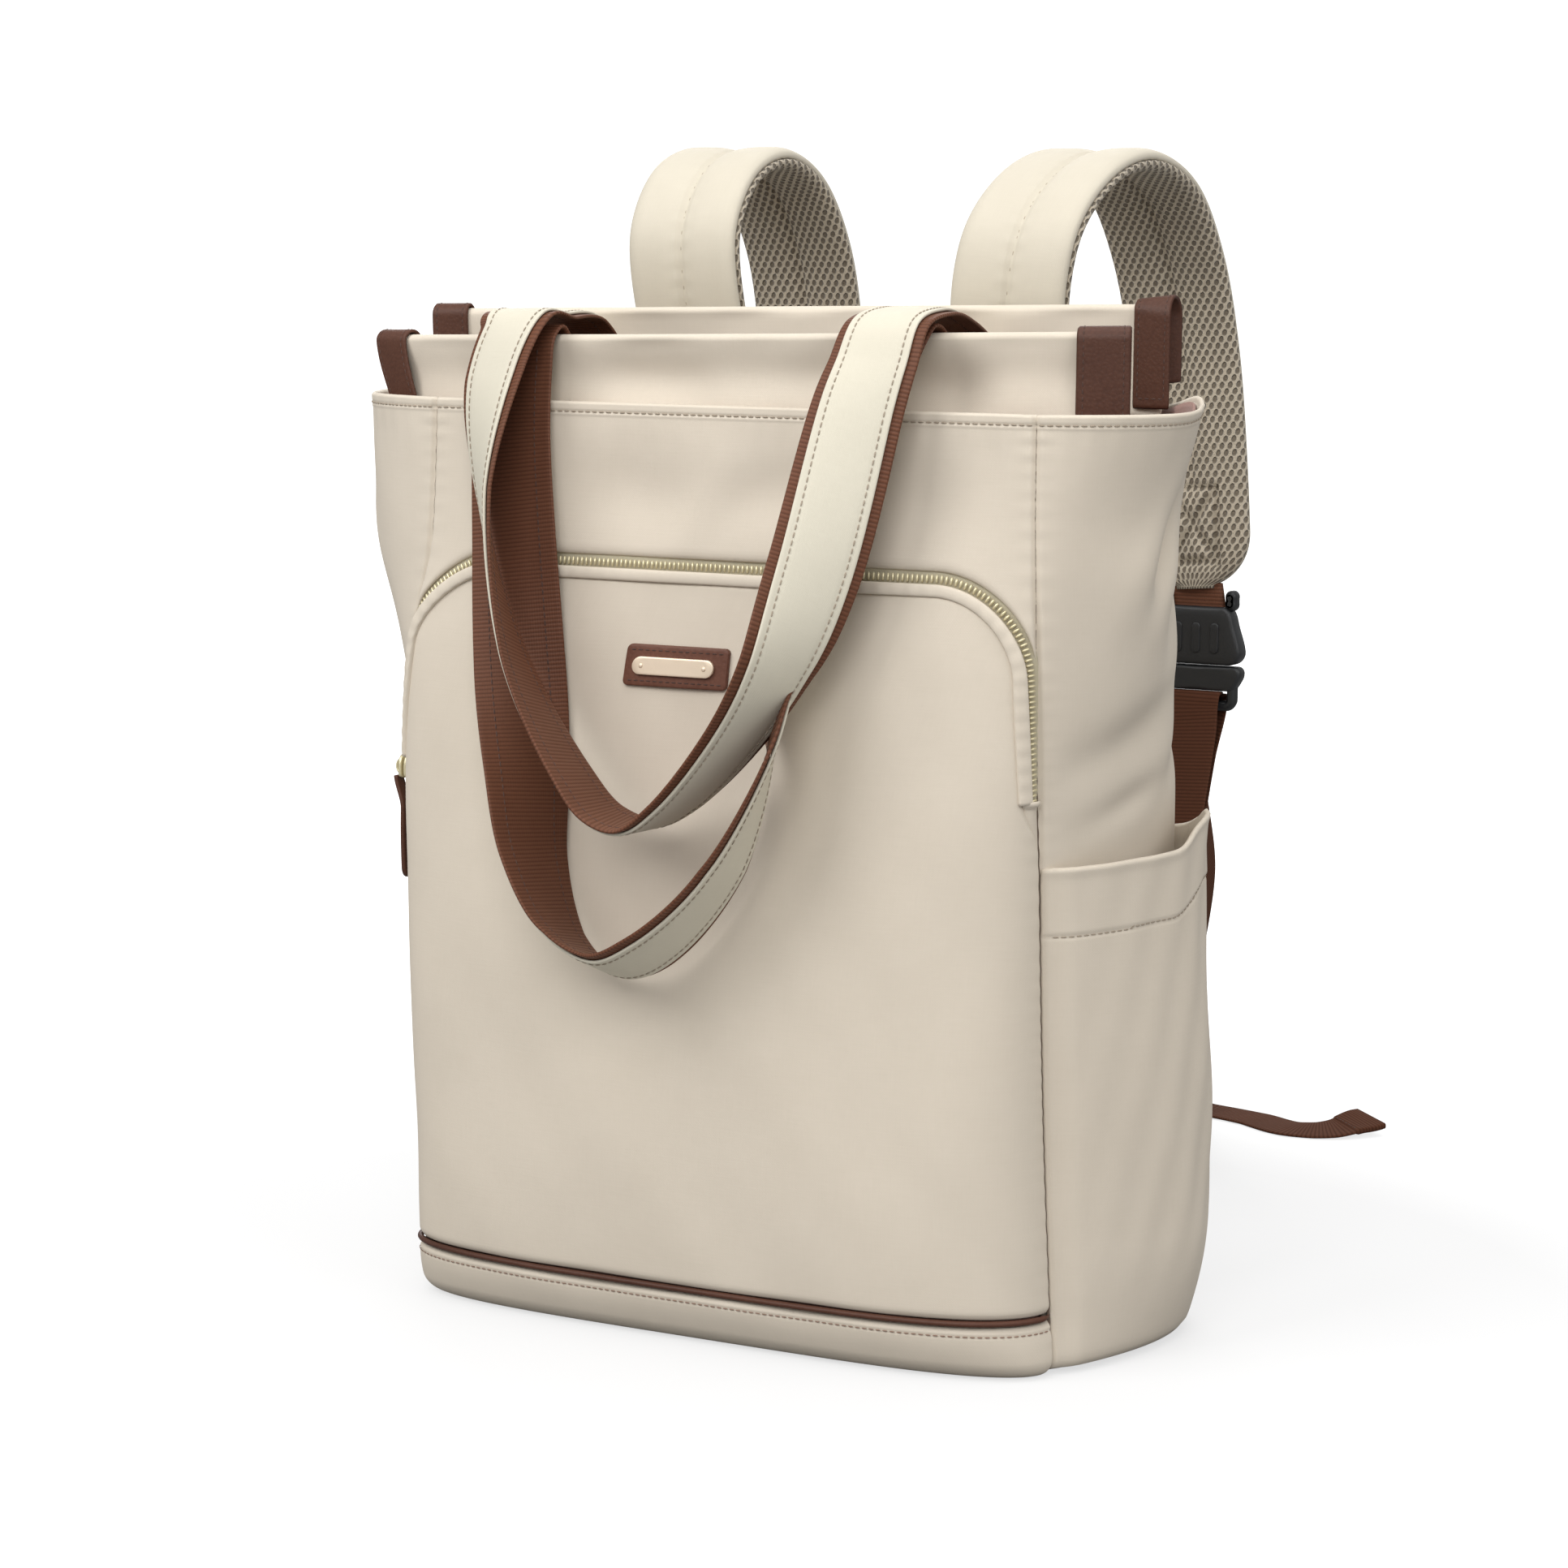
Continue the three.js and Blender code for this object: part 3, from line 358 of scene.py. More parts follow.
# Slow unevenness of colour: two noises, one of hand size and one of finger size.
def makeUneven():
    tree, take, give = newGroup("unevenTone", [("Place", "NodeSocketVector", None)],
                                [("Tone", "NodeSocketFloat")])
    large = noise(tree, take["Place"], 9.0, 3.0)
    small = noise(tree, take["Place"], 60.0, 4.0)
    tree.links.new(weighted(tree, large, 0.65, small, 0.35), give["Tone"])
    return tree


# Leather grain: smooth cells with creases between them, and pores from fine noise.
def makeGrain():
    tree, take, give = newGroup("leatherGrain", [("Place", "NodeSocketVector", None),
                                                 ("Cells", "NodeSocketFloat", 700.0)],
                                [("Height", "NodeSocketFloat"), ("CreaseShade", "NodeSocketFloat")])
    cell = wire(tree, "ShaderNodeTexVoronoi", {"Vector": take["Place"], "Scale": take["Cells"]},
                feature="SMOOTH_F1").outputs["Distance"]
    pore = noise(tree, take["Place"], 1600.0)
    tree.links.new(weighted(tree, cell, -0.8, pore, 0.3), give["Height"])
    # Crease shade: the distance from the cell's middle, which the leather paints as shade in its creases.
    tree.links.new(cell, give["CreaseShade"])
    return tree


# Webbing: ribs across the band from a sine along it, broken by a finer sine across it.
def makeRibs():
    tree, take, give = newGroup("ribbedBand", [("Map", "NodeSocketVector", None),
                                               ("Ribs", "NodeSocketFloat", 58.0)],
                                [("Height", "NodeSocketFloat"), ("GrooveShade", "NodeSocketFloat")])
    xyz = wire(tree, "ShaderNodeSeparateXYZ", {0: take["Map"]}).outputs
    rib = math(tree, "SINE", math(tree, "MULTIPLY", xyz[1], math(tree, "MULTIPLY", take["Ribs"], 2 * np.pi)))
    yarn = math(tree, "SINE", math(tree, "MULTIPLY", xyz[0], 2 * np.pi * 95))
    rib = math(tree, "MULTIPLY", math(tree, "ADD", rib, 1.0), 0.5)
    yarn = math(tree, "MULTIPLY", math(tree, "ADD", yarn, 1.0), 0.5)
    tree.links.new(weighted(tree, rib, 0.75, yarn, 0.25), give["Height"])
    # Groove shade: the mask that paints shade in the grooves between the ribs.
    tree.links.new(math(tree, "POWER", math(tree, "SUBTRACT", 1.0, rib), 2.0), give["GrooveShade"])
    return tree


# Air mesh: oval holes on two staggered grids, deepest in the middle of each hole.
def makeAirMesh():
    tree, take, give = newGroup("airMesh", [("Map", "NodeSocketVector", None)],
                                [("Height", "NodeSocketFloat"), ("HoleShade", "NodeSocketFloat")])
    xyz = wire(tree, "ShaderNodeSeparateXYZ", {0: take["Map"]}).outputs
    holes = []
    for shift in (0.0, 0.5):
        a = math(tree, "ADD", math(tree, "MULTIPLY", xyz[0], 100 / 3.9), shift)
        b = math(tree, "ADD", math(tree, "MULTIPLY", xyz[1], 100 / 6.2), shift)
        a = math(tree, "SUBTRACT", math(tree, "FRACT", a), 0.5)
        b = math(tree, "SUBTRACT", math(tree, "FRACT", b), 0.5)
        lean = math(tree, "ADD", a, math(tree, "MULTIPLY", b, 0.35))
        far = weighted(tree, math(tree, "MULTIPLY", lean, lean), 9.5, math(tree, "MULTIPLY", b, b), 12.5)
        holes.append(ranged(tree, far, 0.28, 1.0, 1.0, 0.0, "SMOOTHSTEP"))
    hole = math(tree, "MAXIMUM", *holes)
    yarn = noise(tree, take["Map"], 160.0)
    tree.links.new(math(tree, "SUBTRACT", math(tree, "MULTIPLY", yarn, 0.3), hole), give["Height"])
    tree.links.new(hole, give["HoleShade"])
    return tree


weave, uneven, grain = makeWeave(), makeUneven(), makeGrain()
ribs, airMesh = makeRibs(), makeAirMesh()


# Principled material with fixed values, its cloth map and its Object coordinates.
def newFinish(name, values):
    finish = bpy.data.materials.new(name)
    finish.use_nodes = True
    tree = finish.node_tree
    tree.nodes.clear()
    shader = tree.nodes.new("ShaderNodeBsdfPrincipled")
    for key, value in values.items():
        shader.inputs[key].default_value = value
    tree.links.new(shader.outputs[0], tree.nodes.new("ShaderNodeOutputMaterial").inputs[0])
    finish.diffuse_color = values.get("Base Color", (0.5, 0.5, 0.5, 1))
    cloth = wire(tree, "ShaderNodeUVMap", uv_map="clothMap").outputs[0]
    place = tree.nodes.new("ShaderNodeTexCoord").outputs["Object"]
    return finish, tree, shader, cloth, place


# A node group placed in a material with its own values.
def placed(tree, group, inputs):
    return wire(tree, "ShaderNodeGroup", inputs, node_tree=group).outputs


# Colour between a and b by an amount; each is a socket or three numbers.
def mixed(tree, amount, a, b):
    a, b = (v if isinstance(v, bpy.types.NodeSocket) else (*v, 1) for v in (a, b))
    return wire(tree, "ShaderNodeMix", {"Factor": amount, 6: a, 7: b}, data_type="RGBA").outputs[2]


# Bump: the normal tilts with the slope of a height.
def roughened(tree, shader, height, strength, far):
    made = wire(tree, "ShaderNodeBump", {"Height": height, "Strength": strength, "Distance": far})
    tree.links.new(made.outputs[0], shader.inputs["Normal"])


# Cloth and thread: darker where the tone and the slubs are low, rougher there too, with the weave as bump.
def clothFinish(name, light, dark, threads, bump, sheen=0.06):
    finish, tree, shader, cloth, place = newFinish(name, {
        "Base Color": (*light, 1), "Sheen Weight": sheen, "Sheen Roughness": 0.5, "Specular IOR Level": 0.22})
    woven = placed(tree, weave, {"Map": cloth, "Threads": threads})
    tone = placed(tree, uneven, {"Place": place})["Tone"]
    toneMix = ranged(tree, weighted(tree, tone, 0.7, woven["Slub"], 0.3), 0.32, 0.68, 0.0, 1.0)
    tree.links.new(mixed(tree, toneMix, dark, light), shader.inputs["Base Color"])
    tree.links.new(ranged(tree, woven["Slub"], 0.3, 0.7, 0.82, 0.62), shader.inputs["Roughness"])
    roughened(tree, shader, woven["Height"], bump, 0.0004)
    return finish


# Leather: painted shade in the creases between its cells, darker also where the tone is low, with the grain
# as bump.
def leatherFinish(name, light, dark, cells=800.0, bump=0.3):
    finish, tree, shader, _, place = newFinish(name, {
        "Base Color": (*light, 1), "Specular IOR Level": 0.26, "Coat Weight": 0.03, "Coat Roughness": 0.4})
    skin = placed(tree, grain, {"Place": place, "Cells": cells})
    tone = placed(tree, uneven, {"Place": place})["Tone"]
    # Painted shade in the creases between the cells, taken off the tone.
    toneMix = math(tree, "SUBTRACT", tone, math(tree, "MULTIPLY", skin["CreaseShade"], 0.25))
    toneMix = ranged(tree, toneMix, 0.2, 0.55, 0, 1)
    tree.links.new(mixed(tree, toneMix, dark, light), shader.inputs["Base Color"])
    tree.links.new(ranged(tree, tone, 0.3, 0.7, 0.42, 0.58), shader.inputs["Roughness"])
    roughened(tree, shader, skin["Height"], bump, 0.0004)
    return finish


# Webbing: painted shade in the grooves between its ribs, darker also where the tone is low, with the ribs as
# bump.
def webbingFinish(name, light, dark, bump, sheen, gloss, rough):
    finish, tree, shader, cloth, place = newFinish(name, {
        "Base Color": (*light, 1), "Sheen Weight": sheen, "Sheen Roughness": 0.35,
        "Sheen Tint": (0.80, 0.42, 0.25, 1), "Specular IOR Level": gloss})
    ribbed = placed(tree, ribs, {"Map": cloth, "Ribs": 58.0})
    tone = placed(tree, uneven, {"Place": place})["Tone"]
    # Painted shade in the grooves between the ribs, plus darker where the tone is low.
    depth = weighted(tree, ribbed["GrooveShade"], 0.75, math(tree, "SUBTRACT", 0.6, tone), 0.9)
    tree.links.new(mixed(tree, depth, light, dark), shader.inputs["Base Color"])
    tree.links.new(ranged(tree, ribbed["Height"], 0, 1, *rough), shader.inputs["Roughness"])
    roughened(tree, shader, ribbed["Height"], bump, 0.0005)
    return finish


# Air mesh: yarn colour with the tone, and inside the holes, which sink as bump, a dark colour painted as the
# shade seen through them.
def meshFinish(name, light, hole, bump):
    finish, tree, shader, cloth, place = newFinish(name, {
        "Base Color": (*light, 1), "Roughness": 0.9, "Sheen Weight": 0.2, "Specular IOR Level": 0.2})
    net = placed(tree, airMesh, {"Map": cloth})
    tone = placed(tree, uneven, {"Place": place})["Tone"]
    yarn = mixed(tree, ranged(tree, tone, 0.3, 0.7, 0, 1), tuple(0.8 * v for v in light), light)
    # Painted shade inside the holes.
    tree.links.new(mixed(tree, net["HoleShade"], yarn, hole), shader.inputs["Base Color"])
    roughened(tree, shader, net["Height"], bump, 0.0014)
    return finish


# Moulded and plated pieces: colour with the tone, roughness and a slight bump with fine specks.
def mouldedFinish(name, light, dark, rough, metal=0.0, speck=900.0, strength=0.12):
    finish, tree, shader, _, place = newFinish(name, {"Base Color": (*light, 1), "Metallic": metal})
    tone = placed(tree, uneven, {"Place": place})["Tone"]
    fine = noise(tree, place, speck, 3.0)
    tree.links.new(mixed(tree, ranged(tree, tone, 0.3, 0.7, 0, 1), dark, light), shader.inputs["Base Color"])
    tree.links.new(ranged(tree, fine, 0.3, 0.7, *rough), shader.inputs["Roughness"])
    roughened(tree, shader, fine, strength, 0.0003)
    return finish


# Cloth and thread: light and dark colour, threads in 10 cm, bump, and for the lining its sheen.
clothLooks = {
    "beigeCanvas": ((0.685, 0.610, 0.508), (0.635, 0.562, 0.462), 150.0, 0.16),
    "paleCanvas": ((0.660, 0.618, 0.508), (0.615, 0.575, 0.468), 150.0, 0.16),
    # A darker copy of the pale canvas for the strap covers: painted shade.
    "strapCanvasShaded": ((0.615, 0.565, 0.465), (0.575, 0.525, 0.430), 150.0, 0.16),
    "reddishLining": ((0.36, 0.20, 0.165), (0.27, 0.145, 0.115), 200.0, 0.15, 0.2),
    # Zip tape: its own olive beige, darkened as painted shade in the gaps between the teeth.
    "zipTapeAndGapShade": ((0.56, 0.51, 0.38), (0.47, 0.42, 0.30), 120.0, 0.4),
    # Beige thread darkened below the canvas: its own colour plus painted shade of the needle holes.
    "beigeThreadAndShade": ((0.44, 0.365, 0.285), (0.33, 0.27, 0.205), 260.0, 0.5),
    "brownThread": ((0.12, 0.07, 0.055), (0.06, 0.032, 0.025), 260.0, 0.5),
    "tanThread": ((0.34, 0.22, 0.165), (0.24, 0.15, 0.11), 260.0, 0.5),
    # Seam cord: painted shade, the dark of the front seams' grooves.
    "seamShadeCord": ((0.17, 0.125, 0.095), (0.12, 0.088, 0.065), 260.0, 0.4),
}
leatherLooks = {
    "brownLeather": ((0.092, 0.036, 0.021), (0.058, 0.021, 0.012)),
    "labelLeather": ((0.170, 0.072, 0.046), (0.112, 0.044, 0.028)),
}
webbingLooks = {
    "brownWebbing": {"light": (0.150, 0.059, 0.032), "dark": (0.080, 0.031, 0.0165), "bump": 0.32,
                     "sheen": 0.12, "gloss": 0.18, "rough": (0.62, 0.46)},
    # A darker copy of the brown webbing for the lower webbing and the tails: painted shade.
    "shadedWebbing": {"light": (0.100, 0.040, 0.023), "dark": (0.055, 0.022, 0.0125), "bump": 0.25,
                    "sheen": 0.03, "gloss": 0.05, "rough": (0.86, 0.74)},
}
# Moulded and plated pieces: light and dark colour, range of roughness, metal, specks and bump.
mouldedLooks = {
    "paleGoldTeeth": ((0.80, 0.73, 0.50), (0.68, 0.60, 0.38), (0.34, 0.46), 0.55),
    "rosePlate": ((0.95, 0.80, 0.63), (0.91, 0.75, 0.57), (0.34, 0.42), 0.45, 500.0, 0.01),
    "blackPlastic": ((0.020, 0.021, 0.023), (0.012, 0.013, 0.014), (0.38, 0.5)),
}
canvas, paleCanvas, strapCanvasShaded, liningCloth, tapeAndGapShade, thread, darkThread, paleThread, seamShadeCord = (
    clothFinish(name, *look) for name, look in clothLooks.items())
leather, labelLeather = (leatherFinish(name, *look) for name, look in leatherLooks.items())
brownWeb, shadedWeb = (webbingFinish(name, **look) for name, look in webbingLooks.items())
goldTeeth, rosePlate, blackPlastic = (mouldedFinish(name, *look) for name, look in mouldedLooks.items())
# The second colour is painted shade, the dark seen through the mesh's holes.
padMesh = meshFinish("greyMesh", (0.58, 0.505, 0.395), (0.18, 0.148, 0.11), 0.9)
print("finishes made")

# Body: plan sections by height, read on a smooth curve
body = {"rim": 388.0, "cloth": 2.0, "baseRound": 8.0, "seamDip": 1.7, "seamWide": 1.35, "hem": 0.3,
        "hemTall": 4.4, "tipRise": 5.5, "pucker": 0.16}
sectionNames = "z front seamY seamR seamL foreY foreR foreL aftY aftR aftL rearX rearY back".split()
sectionRows = np.array([
    [0, -80, -50, 146, -152, -18, 156, -160, 48, 162, -162, 141, 72, 78],
    [25, -90, -49, 144, -153, -18, 157, -162, 48, 163, -163, 141, 72, 79],
    [110, -95, -53, 141, -153.5, -22, 160, -165, 46, 164, -165, 142, 70, 80],
    [210, -92, -61, 141, -155, -32, 163, -168, 40, 168, -169, 140, 65, 74],
    [285, -87, -71, 143, -149.5, -45, 176, -191.5, 29, 178, -191, 138, 59, 67],
    [322, -83, -75, 143, -140, -51, 184.5, -211.5, 23, 183.5, -204, 137, 55, 62],
    [350, -80, -76, 142.5, -137, -55, 186.5, -217, 19, 183.5, -209, 136, 53, 58],
    [388, -77.5, -77, 142.5, -135, -58, 203, -219.5, 15, 197.5, -209.5, 135, 50, 53]], float)


# Each column is a cubic between two rows, with slopes taken over the rows on either side.
def sectionAt(z):
    knots = sectionRows[:, 0]
    i = np.clip(np.searchsorted(knots[1:], z, side="left"), 0, len(knots) - 2)
    before, low, high, after = (sectionRows[np.clip(i + k, 0, len(knots) - 1)] for k in (-1, 0, 1, 2))
    step = high[:, :1] - low[:, :1]
    t = np.clip((z[:, None] - low[:, :1]) / step, 0, 1)
    slopeLow = step * (high - before) / np.maximum(high[:, :1] - before[:, :1], 1e-6)
    slopeHigh = step * (after - low) / np.maximum(after[:, :1] - low[:, :1], 1e-6)
    read = (low * (2 * t**3 - 3 * t**2 + 1) + slopeLow * (t**3 - 2 * t**2 + t)
            + high * (3 * t**2 - 2 * t**3) + slopeHigh * (t**3 - t**2))
    return {name: read[:, k:k + 1] for k, name in enumerate(sectionNames)}


# The front's corners are full and round where it stands well proud of the seams, the left one more so.
def cornerPower(s, t):
    return 1 + np.where(t < 0, 2.0, 1.1) * smooth(s["seamY"] - s["front"], 4, 16)


# Outline of a face at each height: the front and back are flattened ovals, the flanks Bezier curves.
def faceLine(face, s):
    u = np.linspace(0, 1, 801)[None]
    if face == "front":
        t = np.sin((u - 0.5) * np.pi)
        return (np.where(t < 0, -t * s["seamL"], t * s["seamR"]),
                s["seamY"] + (s["front"] - s["seamY"]) * (1 - np.abs(t) ** 4) ** (1 / cornerPower(s, t)))
    if face == "back":
        t = 1 - 2 * u
        return t * s["rearX"], s["rearY"] + (s["back"] - s["rearY"]) * (1 - t**4)
    knots = [("seamR", "seamY"), ("foreR", "foreY"), ("aftR", "aftY"), ("rearX", "rearY")]
    if face == "left":
        knots = [("rearX", "rearY"), ("aftL", "aftY"), ("foreL", "foreY"), ("seamL", "seamY")]
    share = [(1 - u) ** 3, 3 * u * (1 - u) ** 2, 3 * u**2 * (1 - u), u**3]
    sign = -1 if face == "left" else 1
    return (sum(w * (sign * s[x] if x == "rearX" else s[x]) for w, (x, y) in zip(share, knots)),
            sum(w * s[y] for w, (x, y) in zip(share, knots)))


faceOrder = ("front", "right", "back", "left")
faceSteps = 480
faceHeights = np.arange(0, 389.0)


# Table of each face: x, y and the plan normal at even shares of its length, one row a millimetre.
def faceTable(face):
    x, y = np.broadcast_arrays(*faceLine(face, sectionAt(faceHeights)))
    run = np.concatenate([np.zeros((len(x), 1)), np.cumsum(np.hypot(np.diff(x), np.diff(y)), 1)], 1)
    even = np.linspace(0, 1, faceSteps + 1)
    flat = np.stack([readAt(even * r[-1], r, np.stack([a, b], 1)).T for a, b, r in zip(x, y, run)])
    along = np.gradient(flat, axis=2)
    along /= np.hypot(along[:, :1], along[:, 1:])
    return np.stack([flat[:, 0], flat[:, 1], along[:, 1], -along[:, 0]], -1), run[:, -1]


faceTables = {face: faceTable(face) for face in faceOrder}


# Near a seam the normals of both faces turn to their mean, so that the two edges move together.
def shareNormals():
    for face, after in zip(faceOrder, faceOrder[1:] + faceOrder[:1]):
        (a, lengthA), (b, lengthB) = faceTables[face], faceTables[after]
        mean = unit(a[:, -4, 2:] + b[:, 3, 2:])[:, None]
        even = np.linspace(0, 1, faceSteps + 1)[None]
        for table, far in ((a, (1 - even) * lengthA[:, None]), (b, even * lengthB[:, None])):
            table[..., 2:] = unit(lerp(table[..., 2:], mean, bell(far, 4.0)[..., None]))


shareNormals()


# Length of a face's outline at a height.
def lengthAt(face, z):
    return np.interp(z, faceHeights, faceTables[face][1])


# Distance along the cloth to the nearer seam of a face.
def seamAway(face, share, z):
    return np.minimum(share, 1 - share) * lengthAt(face, z)


# Share of a flank's length counted from its front seam.
def fromFront(side, share):
    return share if side == "right" else 1 - share


# Soft hollows and folds of the cloth: share of the face's length, height, half sizes, depth and lean.
creases = {
    "front": [(0.68, 215, 34, 70, 3.0, -0.35), (0.42, 120, 46, 36, 2.0, 0.4), (0.30, 190, 40, 60, -1.2, 0.1),
              (0.55, 250, 26, 22, 1.3, 0.5), (0.80, 110, 30, 60, 1.6, 0.3), (0.60, 354, 34, 15, 3.3, 0.6),
              (0.36, 352, 26, 17, 3.0, -0.4), (0.84, 352, 20, 20, 2.4, 0.3), (0.47, 345, 12, 22, -1.4, 0.5),
              (0.16, 90, 26, 44, 1.0, -0.2)],
    "right": [(0.72, 318, 20, 30, 6.0, 0.5), (0.45, 258, 34, 16, 3.0, 1.4), (0.80, 250, 14, 20, 2.2, 1.2),
              (0.51, 335, 10, 18, 8.5, 0.6), (0.38, 338, 11, 30, -2.0, 0.55), (0.30, 300, 18, 60, -1.0, 0.15),
              (0.42, 262, 26, 15, 2.6, 2.2), (0.38, 232, 20, 9, 2.2, 2.2), (0.16, 330, 14, 40, 1.0, 0.1)],
    "left": [(0.28, 318, 20, 30, 6.0, -0.5), (0.55, 258, 34, 16, 3.0, -1.4), (0.20, 250, 14, 20, 2.2, -1.2),
             (0.49, 335, 10, 18, 8.5, -0.6), (0.62, 338, 11, 30, -2.0, -0.55),
             (0.70, 300, 18, 60, -1.0, -0.15), (0.58, 262, 26, 15, 2.6, -2.2), (0.62, 232, 20, 9, 2.2, -2.2)],
    "back": [(0.5, 190, 70, 120, -2.0, 0.0)],
}


# Sum of the hollows: each a bell along the face, leant with the height, times a bell in the height.
def creaseDepth(face, share, z):
    length = lengthAt(face, z)
    depth = 0.0
    for at, high, wide, tall, deep, lean in creases[face]:
        depth = depth + deep * bell((share - at) * length - lean * (z - high), wide) * bell(z - high, tall)
    return depth * (1 - bell(seamAway(face, share, z), 9))


# Slow waves of a few tenths of a millimetre, from sines of unrelated lengths.
def ripple(face, share, z):
    x = share * lengthAt(face, z) + {"front": 0, "right": 37, "back": 71, "left": 113}[face]
    return (0.30 * np.sin(x / 13.7 + z / 21.3) + 0.25 * np.sin(x / 23.1 - z / 17.9 + 1.3)
            + 0.18 * np.sin(x / 8.3 + z / 31.0 + 2.1) * np.sin(z / 12.7))


# Point of a face: its table read between the four nearest entries, then moved along the plan normal.
def bodyAt(face, share, z, out=0.0):
    share, z, out = np.broadcast_arrays(*(np.asarray(v, float) for v in (share, z, out)))
    table = faceTables[face][0]
    a = np.clip(share, 0, 1) * faceSteps
    b = np.clip(z, 0, faceHeights[-1])
    i, k = np.minimum(a.astype(int), faceSteps - 1), np.minimum(b.astype(int), len(faceHeights) - 2)
    ta, tb = (a - i)[..., None], (b - k)[..., None]
    spot = lerp(lerp(table[k, i], table[k, i + 1], ta), lerp(table[k + 1, i], table[k + 1, i + 1], ta), tb)
    move = out - creaseDepth(face, share, z)
    return np.stack([spot[..., 0] + spot[..., 2] * move, spot[..., 1] + spot[..., 3] * move, z], -1)


# Outward normal: cross product of a short step along the face and one up it.
def outAt(face, share, z):
    step = 0.5 / lengthAt(face, z)
    side = bodyAt(face, np.clip(share + step, 0, 1), z) - bodyAt(face, np.clip(share - step, 0, 1), z)
    rise = bodyAt(face, share, z + 1) - bodyAt(face, share, z - 1)
    return unit(np.cross(side, rise))


# How far the rounded foot draws a wall in: a quarter circle above the floor.
def footRound(z):
    low = np.clip(body["baseRound"] - z, 0, body["baseRound"])
    return body["baseRound"] - np.sqrt(body["baseRound"] ** 2 - low**2)


# Shape of a wall besides its section: rounded foot, dip and puckers at the seams, doubled hem at the rim.
def wallOut(face, share, z):
    fromSeam = seamAway(face, share, z)
    hemFoot = body["rim"] - body["hemTall"]
    hem = body["hem"] * smooth(z, hemFoot - 1.0, hemFoot + 0.2) - 0.45 * bell(z - hemFoot - 1.2, 0.6)
    pucker = body["pucker"] * np.sin(z * 0.78 + 3 * np.sin(z * 0.05)) * bell(fromSeam, 7)
    rimWave = 0.25 * np.sin(share * lengthAt(face, z) * 0.55 + 2 * np.sin(share * 9)) * smooth(z, 366, 382)
    calm = smooth(z, 4, 30) * (1 - smooth(z, 372, 384) * 0.6)
    calm = calm * (1 - bell(fromSeam, 12))
    return (ripple(face, share, z) * calm + hem + pucker * smooth(z, 6, 20) + rimWave * 0.5 - footRound(z)
            - body["seamDip"] * bell(fromSeam, body["seamWide"]))


# Cloth map: distance along the face and height, in units of 10 cm.
def clothUv(share, z, face):
    return np.stack(np.broadcast_arrays(share * lengthAt(face, z), z), -1) * 0.01


# The flanks' rim climbs behind the wing tips and comes down again before the rear seams.
def rimLift(face, share, z):
    if face not in ("left", "right"):
        return 0.0
    behind = fromFront(face, share)
    return body["tipRise"] * bell(behind - 0.7, 0.17) * smooth(z, 330, 388) * (1 - bell(behind - 1, 0.1))


# Wall: the body's surface moved out by the wall's own shape and an extra, with its rim lifted.
def wallGrid(face, share, z, extra=0.0):
    spot = bodyAt(face, share, z, wallOut(face, share, z) + extra)
    spot[..., 2] += rimLift(face, share, z)
    return spot


# Heights of a wall, closer together at its foot and at the hem.
def wallHeights(low, high, count):
    plain = np.linspace(low, high, count)
    fine = [np.linspace(0.2, 10, 12), np.linspace(376, 388, 22)]
    kept = [f[(f >= low) & (f <= high)] for f in fine]
    return np.unique(np.round(np.concatenate([plain, *kept]), 2))


# Front: band, piping, pocket panel, yoke and the zip's arch
zipLook = {"top": 327.0, "corner": 42.0, "end": 236.0, "pleatEnd": 214.0, "ease": 1.6, "teeth": 3.4,
           "frame": 9.2, "pitch": 2.1, "bead": (3.2, 1.25, 1.4), "tapeWide": 8.0, "tapeFoot": 226.0,
           "tabFoot": 212.0}
weltLook = {"wide": 5.0, "tall": 1.7, "deep": 2.6, "gap": 0.4, "spread": 1.2}
bandLook = {"top": 22.9, "cloth": 2.0, "stitchAt": 19.6, "crown": 0.9, "tuck": 1.3, "groove": 0.35}
pipingLook = {"z": 25.0, "wide": 2.4, "tall": 2.7, "sink": 0.1, "endSink": 1.2, "slim": 0.35, "slimRun": 7.0}
panelLook = {"foot": 26.6, "footTuck": 1.2, "edgeTuck": 1.1, "seamGap": 0.2, "yokeRoll": 0.9}


# Band: the foot of the front with a soft crown, rolled in at its upper edge and pressed along its stitching.
def makeBand():
    z = np.concatenate([np.linspace(0.2, 9, 16), np.linspace(9.8, bandLook["top"], 20)])[:, None]
    share = crowded(240)[None] * np.ones_like(z)
    roll = bandLook["crown"] * np.sin(np.pi * z / bandLook["top"])
    roll = roll - bandLook["tuck"] * smooth(z, bandLook["top"] - 2, bandLook["top"])
    groove = -bandLook["groove"] * bell(z - bandLook["stitchAt"], 0.5)
    grid = wallGrid("front", share, z, roll + groove)
    sheet = makePiece("baseBand", [shellPart(grid, bandLook["cloth"], clothUv(share, z, "front"))], [canvas],
                      ["base_band"])
    share = np.linspace(0.012, 0.988, 600)
    z = np.full(600, bandLook["stitchAt"])
    stitches = stitchPart(wallGrid("front", share, z, 0.55), outAt("front", share, z), 3.0, 2.1, 0.6)
    makePiece("bandStitching", [stitches], [paleThread])


# Piping: an oval cord round the front above the band, slimmer and sunk at both seams.
def makePiping():
    look = pipingLook
    share = np.linspace(0.002, 0.998, 300)
    z = np.full(300, look["z"])
    sink = look["sink"] + look["endSink"] * bell(np.minimum(share, 1 - share), 0.01)
    run = {"at": bodyAt("front", share, z, -sink), "out": outAt("front", share, z)}
    run["across"] = unit(np.cross(run["out"], np.gradient(run["at"], axis=0)))
    far = walked(run["at"])
    slim = lerp(look["slim"], 1, smooth(np.minimum(far, far[-1] - far), 0, look["slimRun"]))
    rings = ovalProfile(look["wide"], look["tall"], 14)[None] * slim[:, None, None]
    makePiece("basePiping", [sweepPart(run, rings)], [leather], ["base_piping"])


